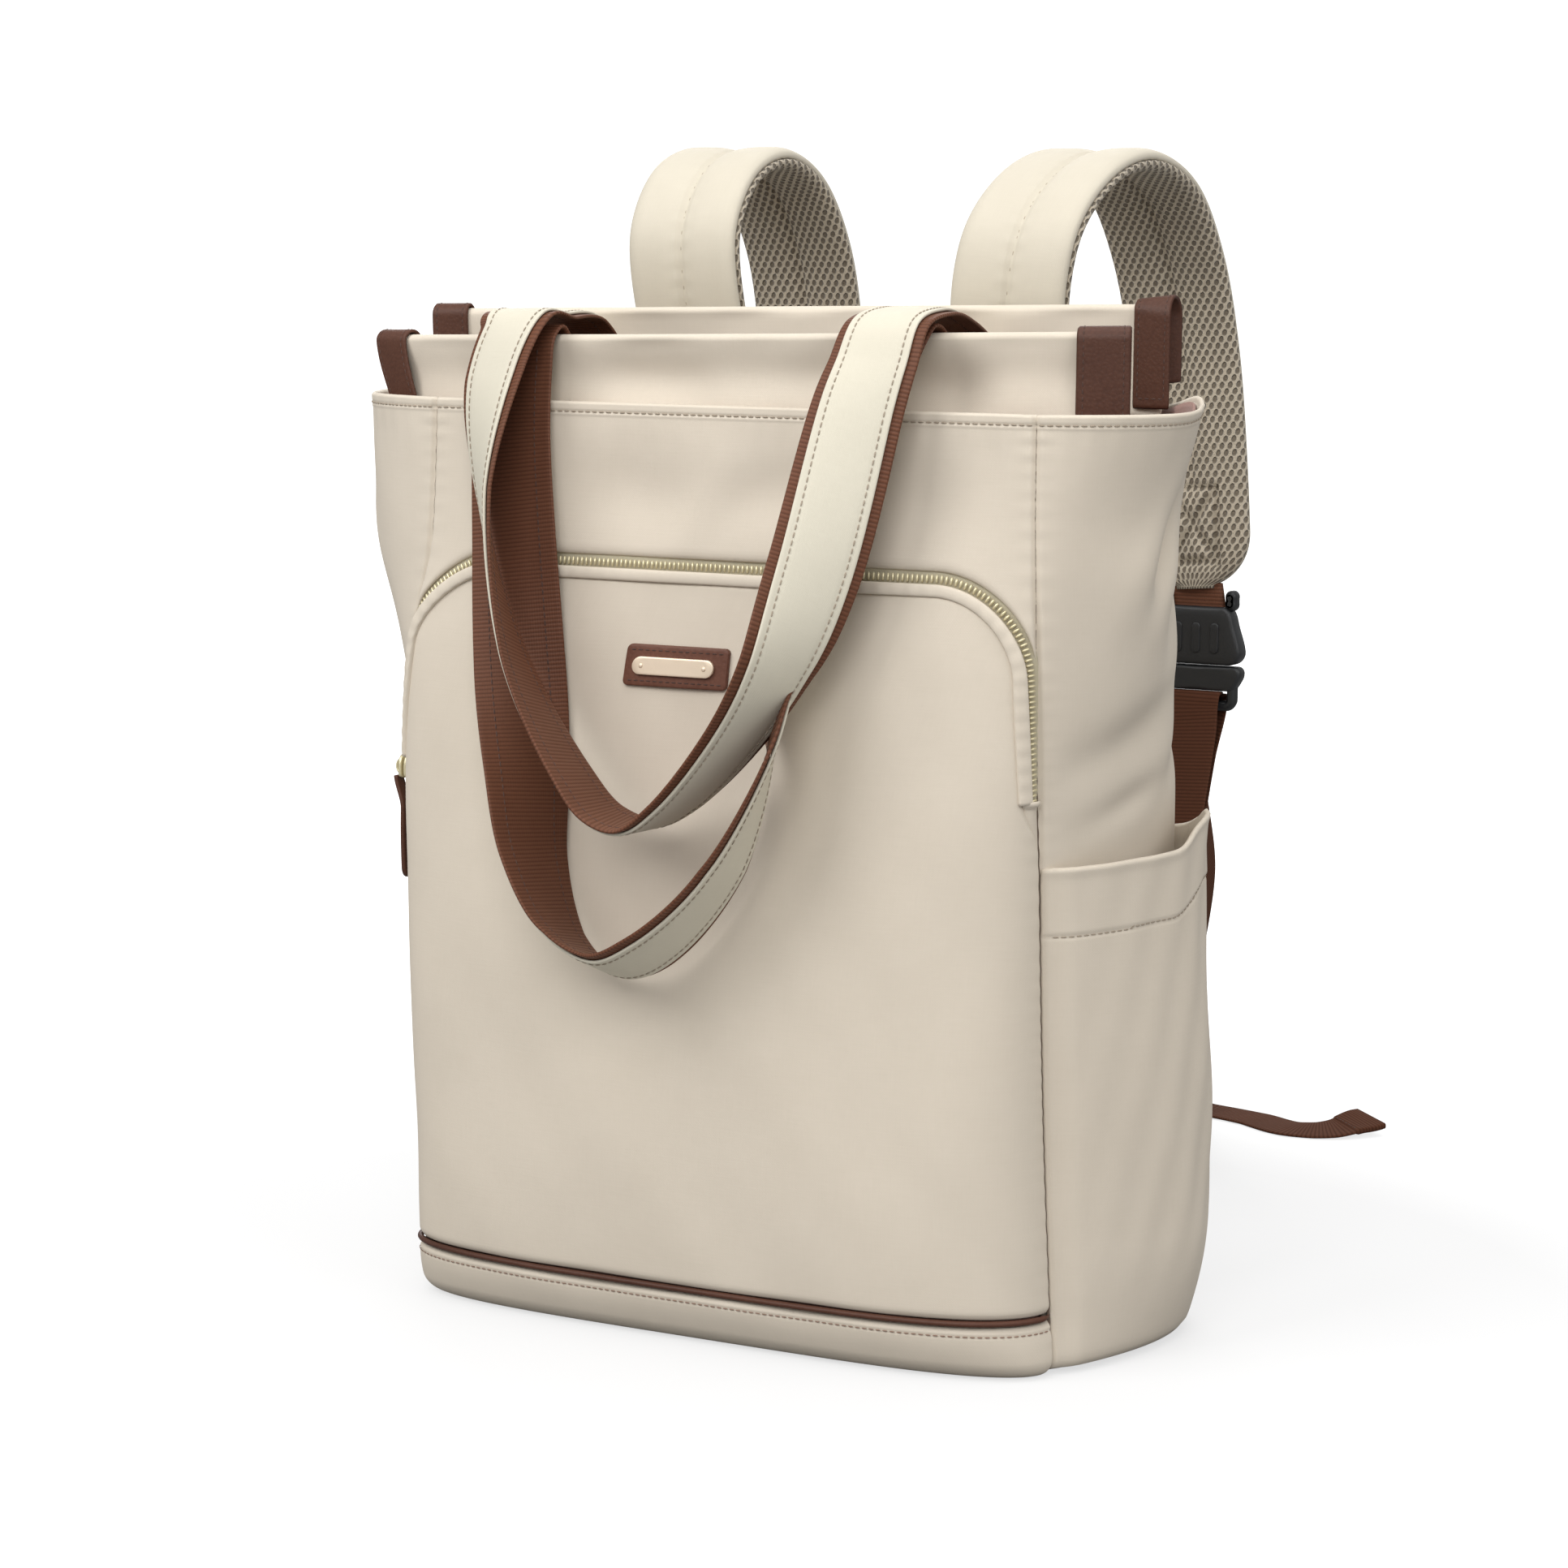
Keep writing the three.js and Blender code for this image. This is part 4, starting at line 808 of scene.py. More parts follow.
# Arch of the zip at some distance inside its outer edge: leg, quarter circle, top, and the same on the left.
def archLine(inset, legs=40, corners=60, top=160, foot=None):
    z0 = zipLook["end"] if foot is None else foot
    spring = zipLook["top"] - zipLook["corner"]
    radius = zipLook["corner"] - inset
    turn = np.linspace(0, np.pi / 2, corners)
    seam = np.concatenate([np.full(legs - 1, inset), zipLook["corner"] - radius * np.cos(turn)])
    rise = np.concatenate([np.linspace(z0, spring, legs)[:-1], spring + radius * np.sin(turn)])
    share = seam / lengthAt("front", rise)
    wide = lengthAt("front", zipLook["top"] - inset)
    across = np.linspace(1 - zipLook["corner"] / wide, zipLook["corner"] / wide, top)[1:-1]
    return (np.concatenate([1 - share, across, share[::-1]]),
            np.concatenate([rise, np.full(top - 2, zipLook["top"] - inset), rise[::-1]]))


# Frames along the arch, at a distance out from the body.
def archRun(inset, out, foot=None):
    share, z = archLine(inset, foot=foot)
    return framesOn(bodyAt("front", share, z, out), outAt("front", share, z))


# Pocket panel: the front up to an arch inside the zip's, with bells that tuck in its foot and its edge.
def makePocketPanel():
    look = panelLook
    shoulder = zipLook["corner"] - zipLook["frame"]
    foot = zipLook["top"] - zipLook["frame"] - shoulder
    turn = np.linspace(0, np.pi / 2, 34)[1:]
    low = np.concatenate([[look["foot"], 27.2, 28, 29], np.linspace(30.5, zipLook["pleatEnd"], 100)])
    pleat = np.linspace(zipLook["pleatEnd"], zipLook["end"], 16)[1:]
    leg = np.linspace(zipLook["end"], foot, 26)[1:]
    z = np.concatenate([low, pleat, leg, foot + shoulder * np.sin(turn)])
    drawn = lerp(look["seamGap"], zipLook["frame"], smooth(pleat, zipLook["pleatEnd"], zipLook["end"]))
    inset = np.concatenate([np.full(len(low), look["seamGap"]), drawn, np.full(len(leg), zipLook["frame"]),
                            zipLook["frame"] + shoulder * (1 - np.cos(turn))])
    edge = (inset / lengthAt("front", z))[:, None]
    z = z[:, None]
    share = lerp(edge, 1 - edge, crowded(200)[None])
    across = seamAway("front", share, z)
    centre = zipLook["frame"] + shoulder
    above = np.where(across < centre, shoulder - np.hypot(centre - across, z - foot), foot + shoulder - z)
    inside = np.where(z < foot, across - inset[:, None], above)
    tuck = -look["footTuck"] * bell(z - look["foot"], 1.3)
    tuck = tuck - look["edgeTuck"] * bell(inside, 1.3) * smooth(z, 205, 222)
    grid = wallGrid("front", share, z * np.ones_like(share), tuck)
    sheet = shellPart(grid, body["cloth"], clothUv(share, z, "front"))
    panel = makePiece("frontPocketPanel", [sheet], [canvas], ["front_pocket_panel"])


# Yoke: the front from the zip's outer arch up to the rim, its foot rolled in by a bell.
def makeYoke():
    turn = np.linspace(0, np.pi / 2, 46)
    z0 = zipLook["top"] - zipLook["corner"] + zipLook["corner"] * np.sin(turn)
    left = (panelLook["seamGap"] + zipLook["corner"] * (1 - np.cos(turn))) / lengthAt("front", z0)
    flat = np.linspace(left[-1], 1 - left[-1], 130)[1:-1]
    share = np.concatenate([left, flat, 1 - left[::-1]])[None]
    foot = np.concatenate([z0, np.full(128, zipLook["top"]), z0[::-1]])[None]
    t = np.concatenate([np.linspace(0, 0.8, 34), np.linspace(0.81, 1, 30)])[:, None]
    z = lerp(foot, body["rim"], t)
    grid = wallGrid("front", share * np.ones_like(z), z, -panelLook["yokeRoll"] * bell(z - foot, 1.4))
    sheet = shellPart(grid, body["cloth"], clothUv(share, z, "front"))
    yoke = makePiece("frontYoke", [sheet], [canvas], ["front_yoke"])


# Zip: a flat tape along the arch, and one bead across it at each pitch.
def makeZip():
    middle = zipLook["ease"] + zipLook["teeth"] / 2
    tape = archRun(middle, -2.5, foot=zipLook["tapeFoot"])
    parts = [sweepPart(tape, stripProfile(zipLook["tapeWide"], -0.5, 0.3))]
    run = archRun(middle, -0.9)
    far = walked(run["at"])
    count = int(far[-1] / zipLook["pitch"])
    s = (np.arange(count) + 0.5) * far[-1] / count
    at, across, up = (readAt(s, far, run[key]) for key in ("at", "across", "out"))
    parts.append(beadPart(at, unit(across), unit(up), zipLook["bead"], 1, 0.1))
    # The tape's darker colour is partly painted shade in the gaps between the teeth.
    makePiece("frontZip", parts, [tapeAndGapShade, goldTeeth], ["front_zip"])


# Welt: a flattened half oval carried along the arch, spread towards its feet, with a flat underside.
def makeWelt():
    look = weltLook
    welt = archRun(zipLook["ease"] + zipLook["teeth"] + look["gap"] + look["wide"] / 2, 0.1)
    spread = look["spread"] * (1 - smooth(welt["at"][:, 2], 268, 322))[:, None]
    turn = np.linspace(0, np.pi, 23)
    x = np.concatenate([np.cos(turn), np.linspace(-0.9, 0.9, 5)])[None]
    wide = look["wide"] / 2 * x + spread * (x + 1) / 2
    tall = np.concatenate([look["tall"] * np.sin(turn) ** 0.55, np.full(5, -look["deep"])])[None]
    tall = tall + 0.12 * np.sin(walked(welt["at"]) * 0.9)[:, None] * (tall > 1)
    profile = np.stack([wide, tall], -1)
    makePiece("pocketWelt", [sweepPart(welt, profile)], [canvas], ["pocket_welt"])


# Tabs that close the ends of the zip: each is arched and runs down into its pleat as a narrowing tongue.
def makeZipTabs():
    v = np.linspace(0, 1, 30)[:, None]
    u = np.linspace(0, 1, 16)[None]
    z = lerp(zipLook["tabFoot"], zipLook["end"] + 0.6, v) * np.ones_like(u)
    spread = smooth(z, 213, 234)
    seam = lerp(lerp(0.5, 1.0, spread), lerp(0.9, zipLook["frame"] + 0.2, spread), 1 - u)
    fold = 1.2 * np.sin(np.pi * u) * spread - 1.5 + 2.4 * smooth(z, 234.2, 235.2)
    share = seam / lengthAt("front", z)
    uv = np.stack([seam, z], -1) * 0.01
    tab = shellPart(bodyAt("front", 1 - share, z, fold), 1.0, uv)
    makePiece("zipEndTab", [tab], [canvas], ["zip_end_tab"])
    tab = shellPart(bodyAt("front", share, z, fold)[:, ::-1], 1.0, uv[:, ::-1])
    makePiece("zipStartTab", [tab], [canvas])


sliderLook = {"inset": 3.0, "drop": 6.0, "tall": 10.0, "wide": 7.0, "pullWide": 8.0, "pullHead": 4.0,
              "pullFoot": 48.0, "stitchAt": 2.392, "proud": 6.4, "lean": 4.4}


# Slider: two waisted plates and a hoop. Pull: a strip with a round end that hangs from the hoop and leans in.
def makeSlider():
    look = sliderLook
    z = zipLook["end"] - look["drop"]
    share = look["inset"] / lengthAt("front", z)
    at = bodyAt("front", share, z)
    out = unit(outAt("front", share, z) * [1, 1, 0])
    up = np.array([0.0, 0, 1])
    side = np.cross(up, out)
    t = np.linspace(-1, 1, 15)
    run = straightRun(at + up * (t * look["tall"] / 2)[:, None], side, out)
    waist = (1 - 0.25 * smooth(t, 0.1, 1)) * np.sqrt(1.02 - np.abs(t) ** 6)
    shape = np.stack([waist, np.ones(15)], 1)[:, None]
    plates = (stripProfile(look["wide"], 0.6, 2.2, 7), stripProfile(look["wide"], 3.2, 4.8, 7, 0.3))
    parts = [sweepPart(run, plate[None] * shape) for plate in plates]
    turn = np.linspace(0, np.pi, 13)[:, None]
    hoop = straightRun(at + up * 3.2 * np.cos(turn) + out * (4.4 + 2.4 * np.sin(turn)), side, out)
    hoop["out"] = unit(np.cross(np.gradient(hoop["at"], axis=0), hoop["across"]))
    parts.append(sweepPart(hoop, stripProfile(2.4, -0.5, 0.5, 5)))
    makePiece("zipSlider", parts, [goldTeeth], ["zip_slider"])

    rise = np.linspace(-look["pullFoot"], -look["pullHead"], 60)
    fromFoot = rise + look["pullFoot"]
    bow = 0.6 * np.sin(np.pi * fromFoot / fromFoot[-1]) - look["lean"] * smooth(-rise, 3, 18)
    pull = straightRun(at + up * rise[:, None] + out * (look["proud"] + bow)[:, None], side, out)
    end = np.sqrt(np.clip(1 - (1 - np.clip(fromFoot / 4.5, 0, 1)) ** 2, 0.02, 1))
    end = end * lerp(0.78, 1, smooth(-rise, 4, 16))
    strip = stripProfile(look["pullWide"], -1.0, 1.0, 9)
    parts = [sweepPart(pull, strip[None] * np.stack([end, np.ones(60)], 1)[:, None])]
    for a in (-look["stitchAt"], look["stitchAt"]):
        line = pull["at"][8:52] + side * a + out
        parts.append(stitchPart(line, pull["out"][8:52], 2.6, 1.8, 0.45, 0.0, 1))
    makePiece("zipPull", parts, [leather, darkThread], ["zip_pull"])


makeBand()
makePiping()
makePocketPanel()
makeYoke()
makeZip()
makeWelt()
makeZipTabs()
makeSlider()
print("front made")

# Flanks with their pockets, back and base
pocketLook = {"foot": 3.0, "top": 208.0, "slope": 6.0, "peakLift": 10.0, "rearDrop": 13.0, "bulge": 13.0,
              "lowBulge": 5.0, "peak": 1.35, "round": 0.8, "edge": 0.004, "hem": 27.0, "cloth": 2.2,
              "recess": 2.4, "rise": (0.3, 2.8)}


# The lip climbs gently from the front seam, lifts to an ear beyond the middle and falls to the rear seam.
def pocketTop(front):
    climb = pocketLook["slope"] * front + pocketLook["peakLift"] * smooth(front, 0.45, 0.72)
    return pocketLook["top"] + climb - pocketLook["rearDrop"] * smooth(front, 0.74, 1)


# Flank: the wall, sunk along its seams below the lip so that the pocket's edges lie in the recess.
def makeSidePanel(side):
    share = crowded(170)[None]
    z = wallHeights(0.2, body["rim"], 170)[:, None]
    lip = pocketTop(fromFront(side, share))
    nearSeam = 1 - smooth(seamAway(side, share, z), 3, 14)
    under = -pocketLook["recess"] * nearSeam * (1 - smooth(z, lip - 5, lip - 0.5))
    grid = wallGrid(side, share * np.ones_like(z), z * np.ones_like(share), under)
    sheet = shellPart(grid, body["cloth"], clothUv(share, z, side))
    panel = makePiece(f"{side}SidePanel", [sheet], [canvas], [f"{side}_side_panel"])


# Pocket: swells from its seams to an arch, with a pressed line below the hem that the stitches follow.
def makeSidePocket(side):
    look = pocketLook
    columns = lerp(look["edge"], 1 - look["edge"], crowded(130))
    share = columns[None]
    front = fromFront(side, share)
    top = pocketTop(front)
    v = np.concatenate([np.linspace(0, 0.84, 60), np.linspace(0.845, 1, 36)])[:, None]
    z = lerp(look["foot"], top, v)
    arch = np.sin(np.pi * np.clip(front, 0, 1) ** look["peak"]) ** look["round"]
    hemLine = top - look["hem"]
    fromSeam = seamAway(side, share, z)
    full = look["bulge"] + look["lowBulge"] * (1 - smooth(z, 90, 215))
    swell = full * arch * smooth(z, -45, 50) * smooth(fromSeam, -4, 9)
    swell = swell + lerp(*look["rise"], smooth(fromSeam, 1, 13))
    swell = swell - body["seamDip"] * bell(fromSeam, body["seamWide"])
    hem = 0.4 * smooth(z - hemLine, -0.8, 0.4) - 0.7 * bell(z - hemLine, 0.8) + 0.7 * bell(z - top, 2.6)
    wave = (0.5 * np.sin(share * 21 + z / 19) + 0.35 * np.sin(share * 40 - z / 11)) * smooth(z, 20, 60)
    wave = wave + creaseDepth(side, share, z) * 0.8
    grid = bodyAt(side, share, z, swell - footRound(z) + hem + wave * arch)
    sheet = shellPart(grid, look["cloth"], clothUv(share, z, side))
    pouch = makePiece(f"{side}SidePocket", [sheet], [canvas], [f"{side}_side_pocket"])
    rows = np.argmin(np.abs(z - hemLine), 0)
    along = np.linspace(0.03, 0.97, 300)
    line, normal = (readAt(along, columns, g[rows, np.arange(130)]) for g in (grid, gridNormal(grid)))
    stitches = stitchPart(line, normal, 3.2, 2.3, 0.6, 0.25)
    makePiece(f"{side}PocketStitching", [stitches], [thread])


# Back: the plain wall between the rear seams.
def makeBack():
    share = crowded(120)[None]
    z = wallHeights(0.2, body["rim"], 110)[:, None]
    grid = wallGrid("back", share * np.ones_like(z), z * np.ones_like(share))
    sheet = shellPart(grid, body["cloth"], clothUv(share, z, "back"))
    panel = makePiece("backPanel", [sheet], [canvas], ["back_panel"])


baseLook = {"inset": 7.0, "low": 0.5, "high": 3.0, "edgeLift": 0.6, "middle": (-2.0, 0, 0)}


# Base: the body's outline shrunk in steps towards its middle, once below and once above.
def makeBase():
    around = np.linspace(0, 1, 60, endpoint=False)
    ring = np.concatenate([bodyAt(face, around, 0.0, -baseLook["inset"]) for face in faceOrder])
    inward = np.concatenate([[1.0, 0.995], np.linspace(0.98, 0.02, 24)])[:, None, None]
    lift = baseLook["low"] + np.where(inward > 0.99, baseLook["edgeLift"], 0.0)
    low = lerp(np.array(baseLook["middle"]), ring, inward) + lift * np.array([0, 0, 1])
    high = low[::-1] * [1, 1, 0] + np.array([0, 0, baseLook["high"]])
    board = ringPart(np.concatenate([low[::-1], high[::-1]]))
    makePiece("basePanel", [board], [canvas], ["bottom_panel"])


seamLook = {"from": 3.0, "to": 384.0, "wide": 1.44, "sink": 0.15, "highSink": 0.55}


# Painted shade in the grooves of the two front seams: a thin round dark cord on the floor of each groove.
def makeSeamShadeCord():
    z = np.linspace(seamLook["from"], seamLook["to"], 400)
    deep = -seamLook["sink"] - seamLook["highSink"] * smooth(z, 205, 245)
    parts = []
    for share in (0.0, 1.0):
        at = wallGrid("front", np.full(400, share), z, deep)
        normal = bodyAt("front", share, z, 1.0) - bodyAt("front", share, z, 0.0)
        parts.append(sweepPart(framesOn(at, normal), ovalProfile(seamLook["wide"], seamLook["wide"], 8)))
    makePiece("seamShadeCord", parts, [seamShadeCord])


# Rim stitching: a row of stitches along the hem of each wall.
def makeRimStitching():
    z = np.full(500, body["rim"] - body["hemTall"] + 1.2)
    parts = []
    for face in faceOrder:
        end = 0.004 if face == "front" else 0.006
        share = np.linspace(end, 1 - end, 500)
        line = wallGrid(face, share, z, 0.45)
        parts.append(stitchPart(line, outAt(face, share, z - 8), 3.3, 2.4, 0.62))
    makePiece("rimStitching", parts, [thread])


for side in ("left", "right"):
    makeSidePanel(side)
    makeSidePocket(side)
makeBack()
makeBase()
makeSeamShadeCord()
makeRimStitching()
print("flanks, back and base made")

# Lining, hung inside the rim
liningLook = {"thick": 1.0, "rimGap": 0.4, "slack": 5.0, "hang": 45.0, "foot": 6.0, "top": 386.6,
              "corner": 8.0, "around": 9.2, "floorTop": 5.6, "floorLow": 4.6}


# Lining: the body's inside drawn in below the rim with soft folds, and a floor shrunk towards its middle.
def makeLining():
    look = liningLook
    z = np.concatenate([np.linspace(look["foot"], 330, 60), np.linspace(334, look["top"], 26)])[:, None]

    def ring(depth):
        slack = smooth(body["rim"] - z, 0, look["hang"]) * look["slack"]
        made = []
        for face in faceOrder:
            corner = look["corner"] / lengthAt(face, z)
            share = lerp(corner, 1 - corner, np.linspace(0, 1, 90)[None])
            fold = 0.7 * np.sin(share * 46 + 2 * np.sin(z / 60)) * smooth(body["rim"] - z, 6, 60)
            inside = body["cloth"] + look["rimGap"] + slack + depth + 0.6 + fold
            spot = bodyAt(face, share, z * np.ones_like(share), -inside)
            spot[..., 2] += rimLift(face, share, z)
            made.append(spot)
        return np.concatenate(made, 1)

    outer, inner = ring(0.0), ring(look["thick"])
    loop = np.concatenate([outer, inner[::-1]])
    rows, cols = loop.shape[:2]
    around = np.linspace(0, look["around"], cols)[None] * np.ones((rows, 1))
    up = np.concatenate([z, z[::-1]]) * 0.01 * np.ones((1, cols))
    uv = np.stack([around, up], -1)
    tube = outwards(part(loop, [gridFaces(rows, cols, True, True)], uv, 0, look["around"]))
    makePiece("lining", [tube], [liningCloth], ["lining"])
    edge = inner[0] - [0, 0, look["foot"]]
    steps = np.linspace(0.995, 0.02, 26)
    scale = np.concatenate([steps, steps[::-1]])[:, None, None]
    high = np.repeat([look["floorTop"], look["floorLow"]], 26)[:, None, None]
    floor = lerp(np.array(baseLook["middle"]), edge, scale) + high * [0, 0, 1]
    makePiece("liningFloor", [ringPart(floor)], [liningCloth])


makeLining()
print("lining made")

# Top closure: two folded panels with leather ends
panels = {
    "front": {"left": (-163.5, -54), "right": (164, -48), "bow": -21, "power": 3, "topLeft": 414,
              "topRight": 421, "lean": -11},
    "rear": {"left": (-166, -18), "right": (148.5, 30.5), "bow": 2, "power": 2, "topLeft": 425,
             "topRight": 431, "lean": -3},
}
closureLook = {"cloth": 1.6, "foldRadius": 3.0, "foot": {"front": 366.0, "rear": 386.0}, "backDrop": 26.0,
               "flapDrop": 14.0, "flapIn": 9.6, "sagTo": 384.0, "hollow": {"front": 2.8, "rear": 0.84}}
tabLook = {"wide": {"frontleft": 11.5, "frontright": 14.5, "rearleft": 10.5, "rearright": 10.5},
           "leather": 1.5, "gap": 0.7, "overhang": 4.0, "gape": 4.0, "frontDrop": 10.0, "rearLift": 1.0,
           "backLift": 3.0, "openDrop": 10.0}
panelDents = {   # share of the length, height, half sizes and depth
    "front": [(0.40, 397, 26, 11, 4.6), (0.62, 400, 30, 10, 2.6), (0.80, 395, 18, 12, 5.2),
              (0.14, 396, 14, 12, 1.4), (0.50, 396, 9, 12, -0.9), (0.72, 398, 8, 12, -0.8),
              (0.26, 398, 9, 12, -0.9)],
    "rear": [(0.30, 412, 22, 12, 3.2), (0.70, 416, 18, 10, 3.4), (0.52, 408, 22, 12, -1.2)],
}


# Point on a panel: its share of the length, the distance back from the front side, and the height.
def panelAt(name, share, back, z):
    panel = panels[name]

    def spot(s):
        x = lerp(panel["left"][0], panel["right"][0], s)
        bow = panel["bow"] * (1 - np.abs(s * 2 - 1) ** panel["power"])
        y = lerp(panel["left"][1], panel["right"][1], s) + bow
        return np.stack([x, y], -1)

    share, back, z = np.broadcast_arrays(share, back, z)
    ahead = unit(spot(share + 0.01) - spot(share - 0.01))
    lean = np.where(share < 0.5, panel["lean"] * (1 - 2 * share) ** 2, 0.0) * smooth(z, 368, panel["topLeft"])
    here = spot(share)
    return np.stack([here[..., 0] - ahead[..., 1] * back + lean, here[..., 1] + ahead[..., 0] * back, z], -1)


# Cross-section of a fold as (back, height): up the front, half a circle over the top, down the back.
def foldLine(top, foot, backFoot, radius, grow, count=26):
    r = radius + grow
    turn = np.linspace(np.pi, 0, 21)
    t = np.linspace(0, 1, count)[:-1]
    top, radius, r = np.broadcast_arrays(top, radius, r)
    rise = lerp(foot, top - radius, t)
    fall = lerp(top - radius, backFoot, np.linspace(0, 1, count)[1:])
    back = np.concatenate([-grow + 0 * rise, radius + r * np.cos(turn), 2 * radius + grow + 0 * fall], -1)
    return back, np.concatenate([rise, top - radius + r * np.sin(turn), fall], -1)


# Height of a panel's fold, straight from its left end to its right.
def topAt(name, share):
    return lerp(panels[name]["topLeft"], panels[name]["topRight"], share)


# Closure panel: the fold carried along the panel, with dents and sways; the rear one sags on to the back.
def makeClosure(name):
    share = np.linspace(0, 1, 170)[:, None]
    top = topAt(name, share)
    foot = closureLook["foot"][name]
    back, z = foldLine(top, foot, top - closureLook["backDrop"], closureLook["foldRadius"], 0.0)
    dent = sum(deep * bell((share - at) * 320, wide) * bell(z - high, tall)
               for at, high, wide, tall, deep in panelDents[name])
    hollow = closureLook["hollow"][name] * bell(z - (top - 17), 11)
    sway = 0.5 * np.sin(share * 23 + z / 14) + 0.35 * np.sin(share * 41 - z / 9) + hollow
    grid = panelAt(name, share, back + (dent + sway) * (1 - smooth(z, top - 5, top)), z)
    if name == "rear":
        seamZ = body["rim"] - closureLook["flapDrop"]
        wallShare = lerp(0.97, 0.03, share[:, 0])
        sewn = bodyAt("back", wallShare, seamZ, -closureLook["flapIn"])
        last = grid[:, -1]
        t = np.linspace(0, 1, 40)[None, 1:, None]
        bend = lerp(last, sewn, 0.22) * [1, 1, 0] + np.array([0, 0, closureLook["sagTo"]])
        sag = (1 - t) ** 2 * last[:, None] + 2 * t * (1 - t) * bend[:, None] + t**2 * sewn[:, None]
        sag[..., 2] += 1.2 * np.sin(share * 19) * np.sin(np.pi * t[..., 0])
        grid = np.concatenate([grid, sag], 1)
    steps = np.linalg.norm(np.diff(grid, axis=1), axis=2)
    run = np.concatenate([np.zeros((len(grid), 1)), np.cumsum(steps, 1)], 1)
    uv = np.stack([share * 325 * np.ones_like(run), run], -1) * 0.01
    sheet = shellPart(grid.transpose(1, 0, 2), closureLook["cloth"], uv.transpose(1, 0, 2))
    made = makePiece(f"{name}TopPanel", [sheet], [canvas], [f"{name}_top_panel"])
    for side in ("left", "right"):
        makeTab(name, side)


# Leather end: the panel's fold grown by the leather, over a short share of the length; one end gapes.
def makeTab(name, side):
    panel = panels[name]
    gape = tabLook["gape"] if (name, side) == ("rear", "right") else 0.0
    length = panel["right"][0] - panel["left"][0]
    wide = tabLook["wide"][name + side]
    ends = (-tabLook["overhang"] / length, wide / length)
    if side == "right":
        ends = (1 - wide / length, 1 + tabLook["overhang"] / length)
    t = np.linspace(0, 1, 40)[:, None]
    share = lerp(*ends, t)
    spread = gape * (t if side == "right" else 1 - t)
    top = topAt(name, share) + spread * 0.4
    foot = body["rim"] + (-tabLook["frontDrop"] if name == "front" else tabLook["rearLift"])
    backFoot = top - closureLook["backDrop"] + tabLook["backLift"] - (tabLook["openDrop"] if gape else 0.0)
    grow = tabLook["gap"] + tabLook["leather"]
    back, z = foldLine(top, foot, backFoot, closureLook["foldRadius"] + spread, grow, 34)
    grid = panelAt(name, share, back - spread * 0.5, z).transpose(1, 0, 2)
    run = walked(grid[:, 20])
    uv = np.stack(np.broadcast_arrays(t[:, 0] * 28, run[:, None]), -1) * 0.01
    parts = [shellPart(grid, tabLook["leather"], uv)]
    normal = gridNormal(grid)
    first, last = np.searchsorted(run, [3.0, run[-1] - 3.0])
    for column in (4, 35):
        line = (grid[first:last, column], normal[first:last, column])
        parts.append(stitchPart(*line, 2.8, 1.9, 0.5, 0.02, 1))
    for row in (first, last):
        parts.append(stitchPart(grid[row, 4:36], normal[row, 4:36], 2.8, 1.9, 0.5, 0.02, 1))
    tab = f"{name}{side.capitalize()}Tab"
    makePiece(tab, parts, [leather, darkThread], [f"{name}_{side}_tab"])


for name in ("front", "rear"):
    makeClosure(name)
print("closure made")

# Label: leather patch with a bare plate
labelLook = {"wide": 47.5, "tall": 17.0, "thick": 1.8, "round": 2.2, "plateWide": 37.5, "plateTall": 7.4,
             "plateThick": 1.0, "plateShift": -0.8, "x": -11.0, "z": 283.0,
             "stitchIn": 2.2, "rivetAt": 14.5}


# Rounded rectangle as a ring of points: four quarter circles, joined by straight sides.
def roundedRing(wide, tall, radius, corner=10, sides=16):
    turn = np.linspace(0, np.pi / 2, corner)
    arc = np.stack([np.cos(turn), np.sin(turn)], 1) * radius
    quarters = ((0, 1, 1), (np.pi / 2, -1, 1), (np.pi, -1, -1), (1.5 * np.pi, 1, -1))
    ring = np.concatenate([arc @ np.array([[np.cos(a), np.sin(a)], [-np.sin(a), np.cos(a)]])
                           + [sx * (wide / 2 - radius), sy * (tall / 2 - radius)] for a, sx, sy in quarters])
    closed = np.concatenate([ring, ring[:1]])
    far = walked(closed)
    even = np.unique(np.concatenate([far, np.linspace(0, far[-1], 4 * sides)]))[:-1]
    return readAt(even, far, closed)


# Lays rings of (across, up) offsets with their heights on the front of the body.
def onFront(offsets, high):
    length = lengthAt("front", labelLook["z"])
    middle = 0.5 + (labelLook["x"] - bodyAt("front", 0.5, labelLook["z"])[0]) / length
    z = labelLook["z"] + offsets[..., 1]
    high = high + ripple("front", middle, labelLook["z"])
    return bodyAt("front", middle + offsets[..., 0] / length, z, high)


# Slab: rings of one outline laid on the front, rounded off by soft at the top and shrunk to the middle.
def slabOnFront(ring, low, high, soft, aside=0.0):
    half = np.ptp(ring, 0) / 2
    outward = unit(ring - np.clip(ring, 4 - half, half - 4) + 1e-6)
    inner = ring - outward * soft
    layers = [(ring, low), (ring, high - soft), (ring - outward * (soft * 0.3), high - soft * 0.3),
              (inner, high)]
    layers += [(inner * k, high) for k in (0.85, 0.65, 0.45, 0.25, 0.08)]
    return ringPart(np.stack([onFront(flat + aside, np.full(len(ring), at)) for flat, at in layers]))


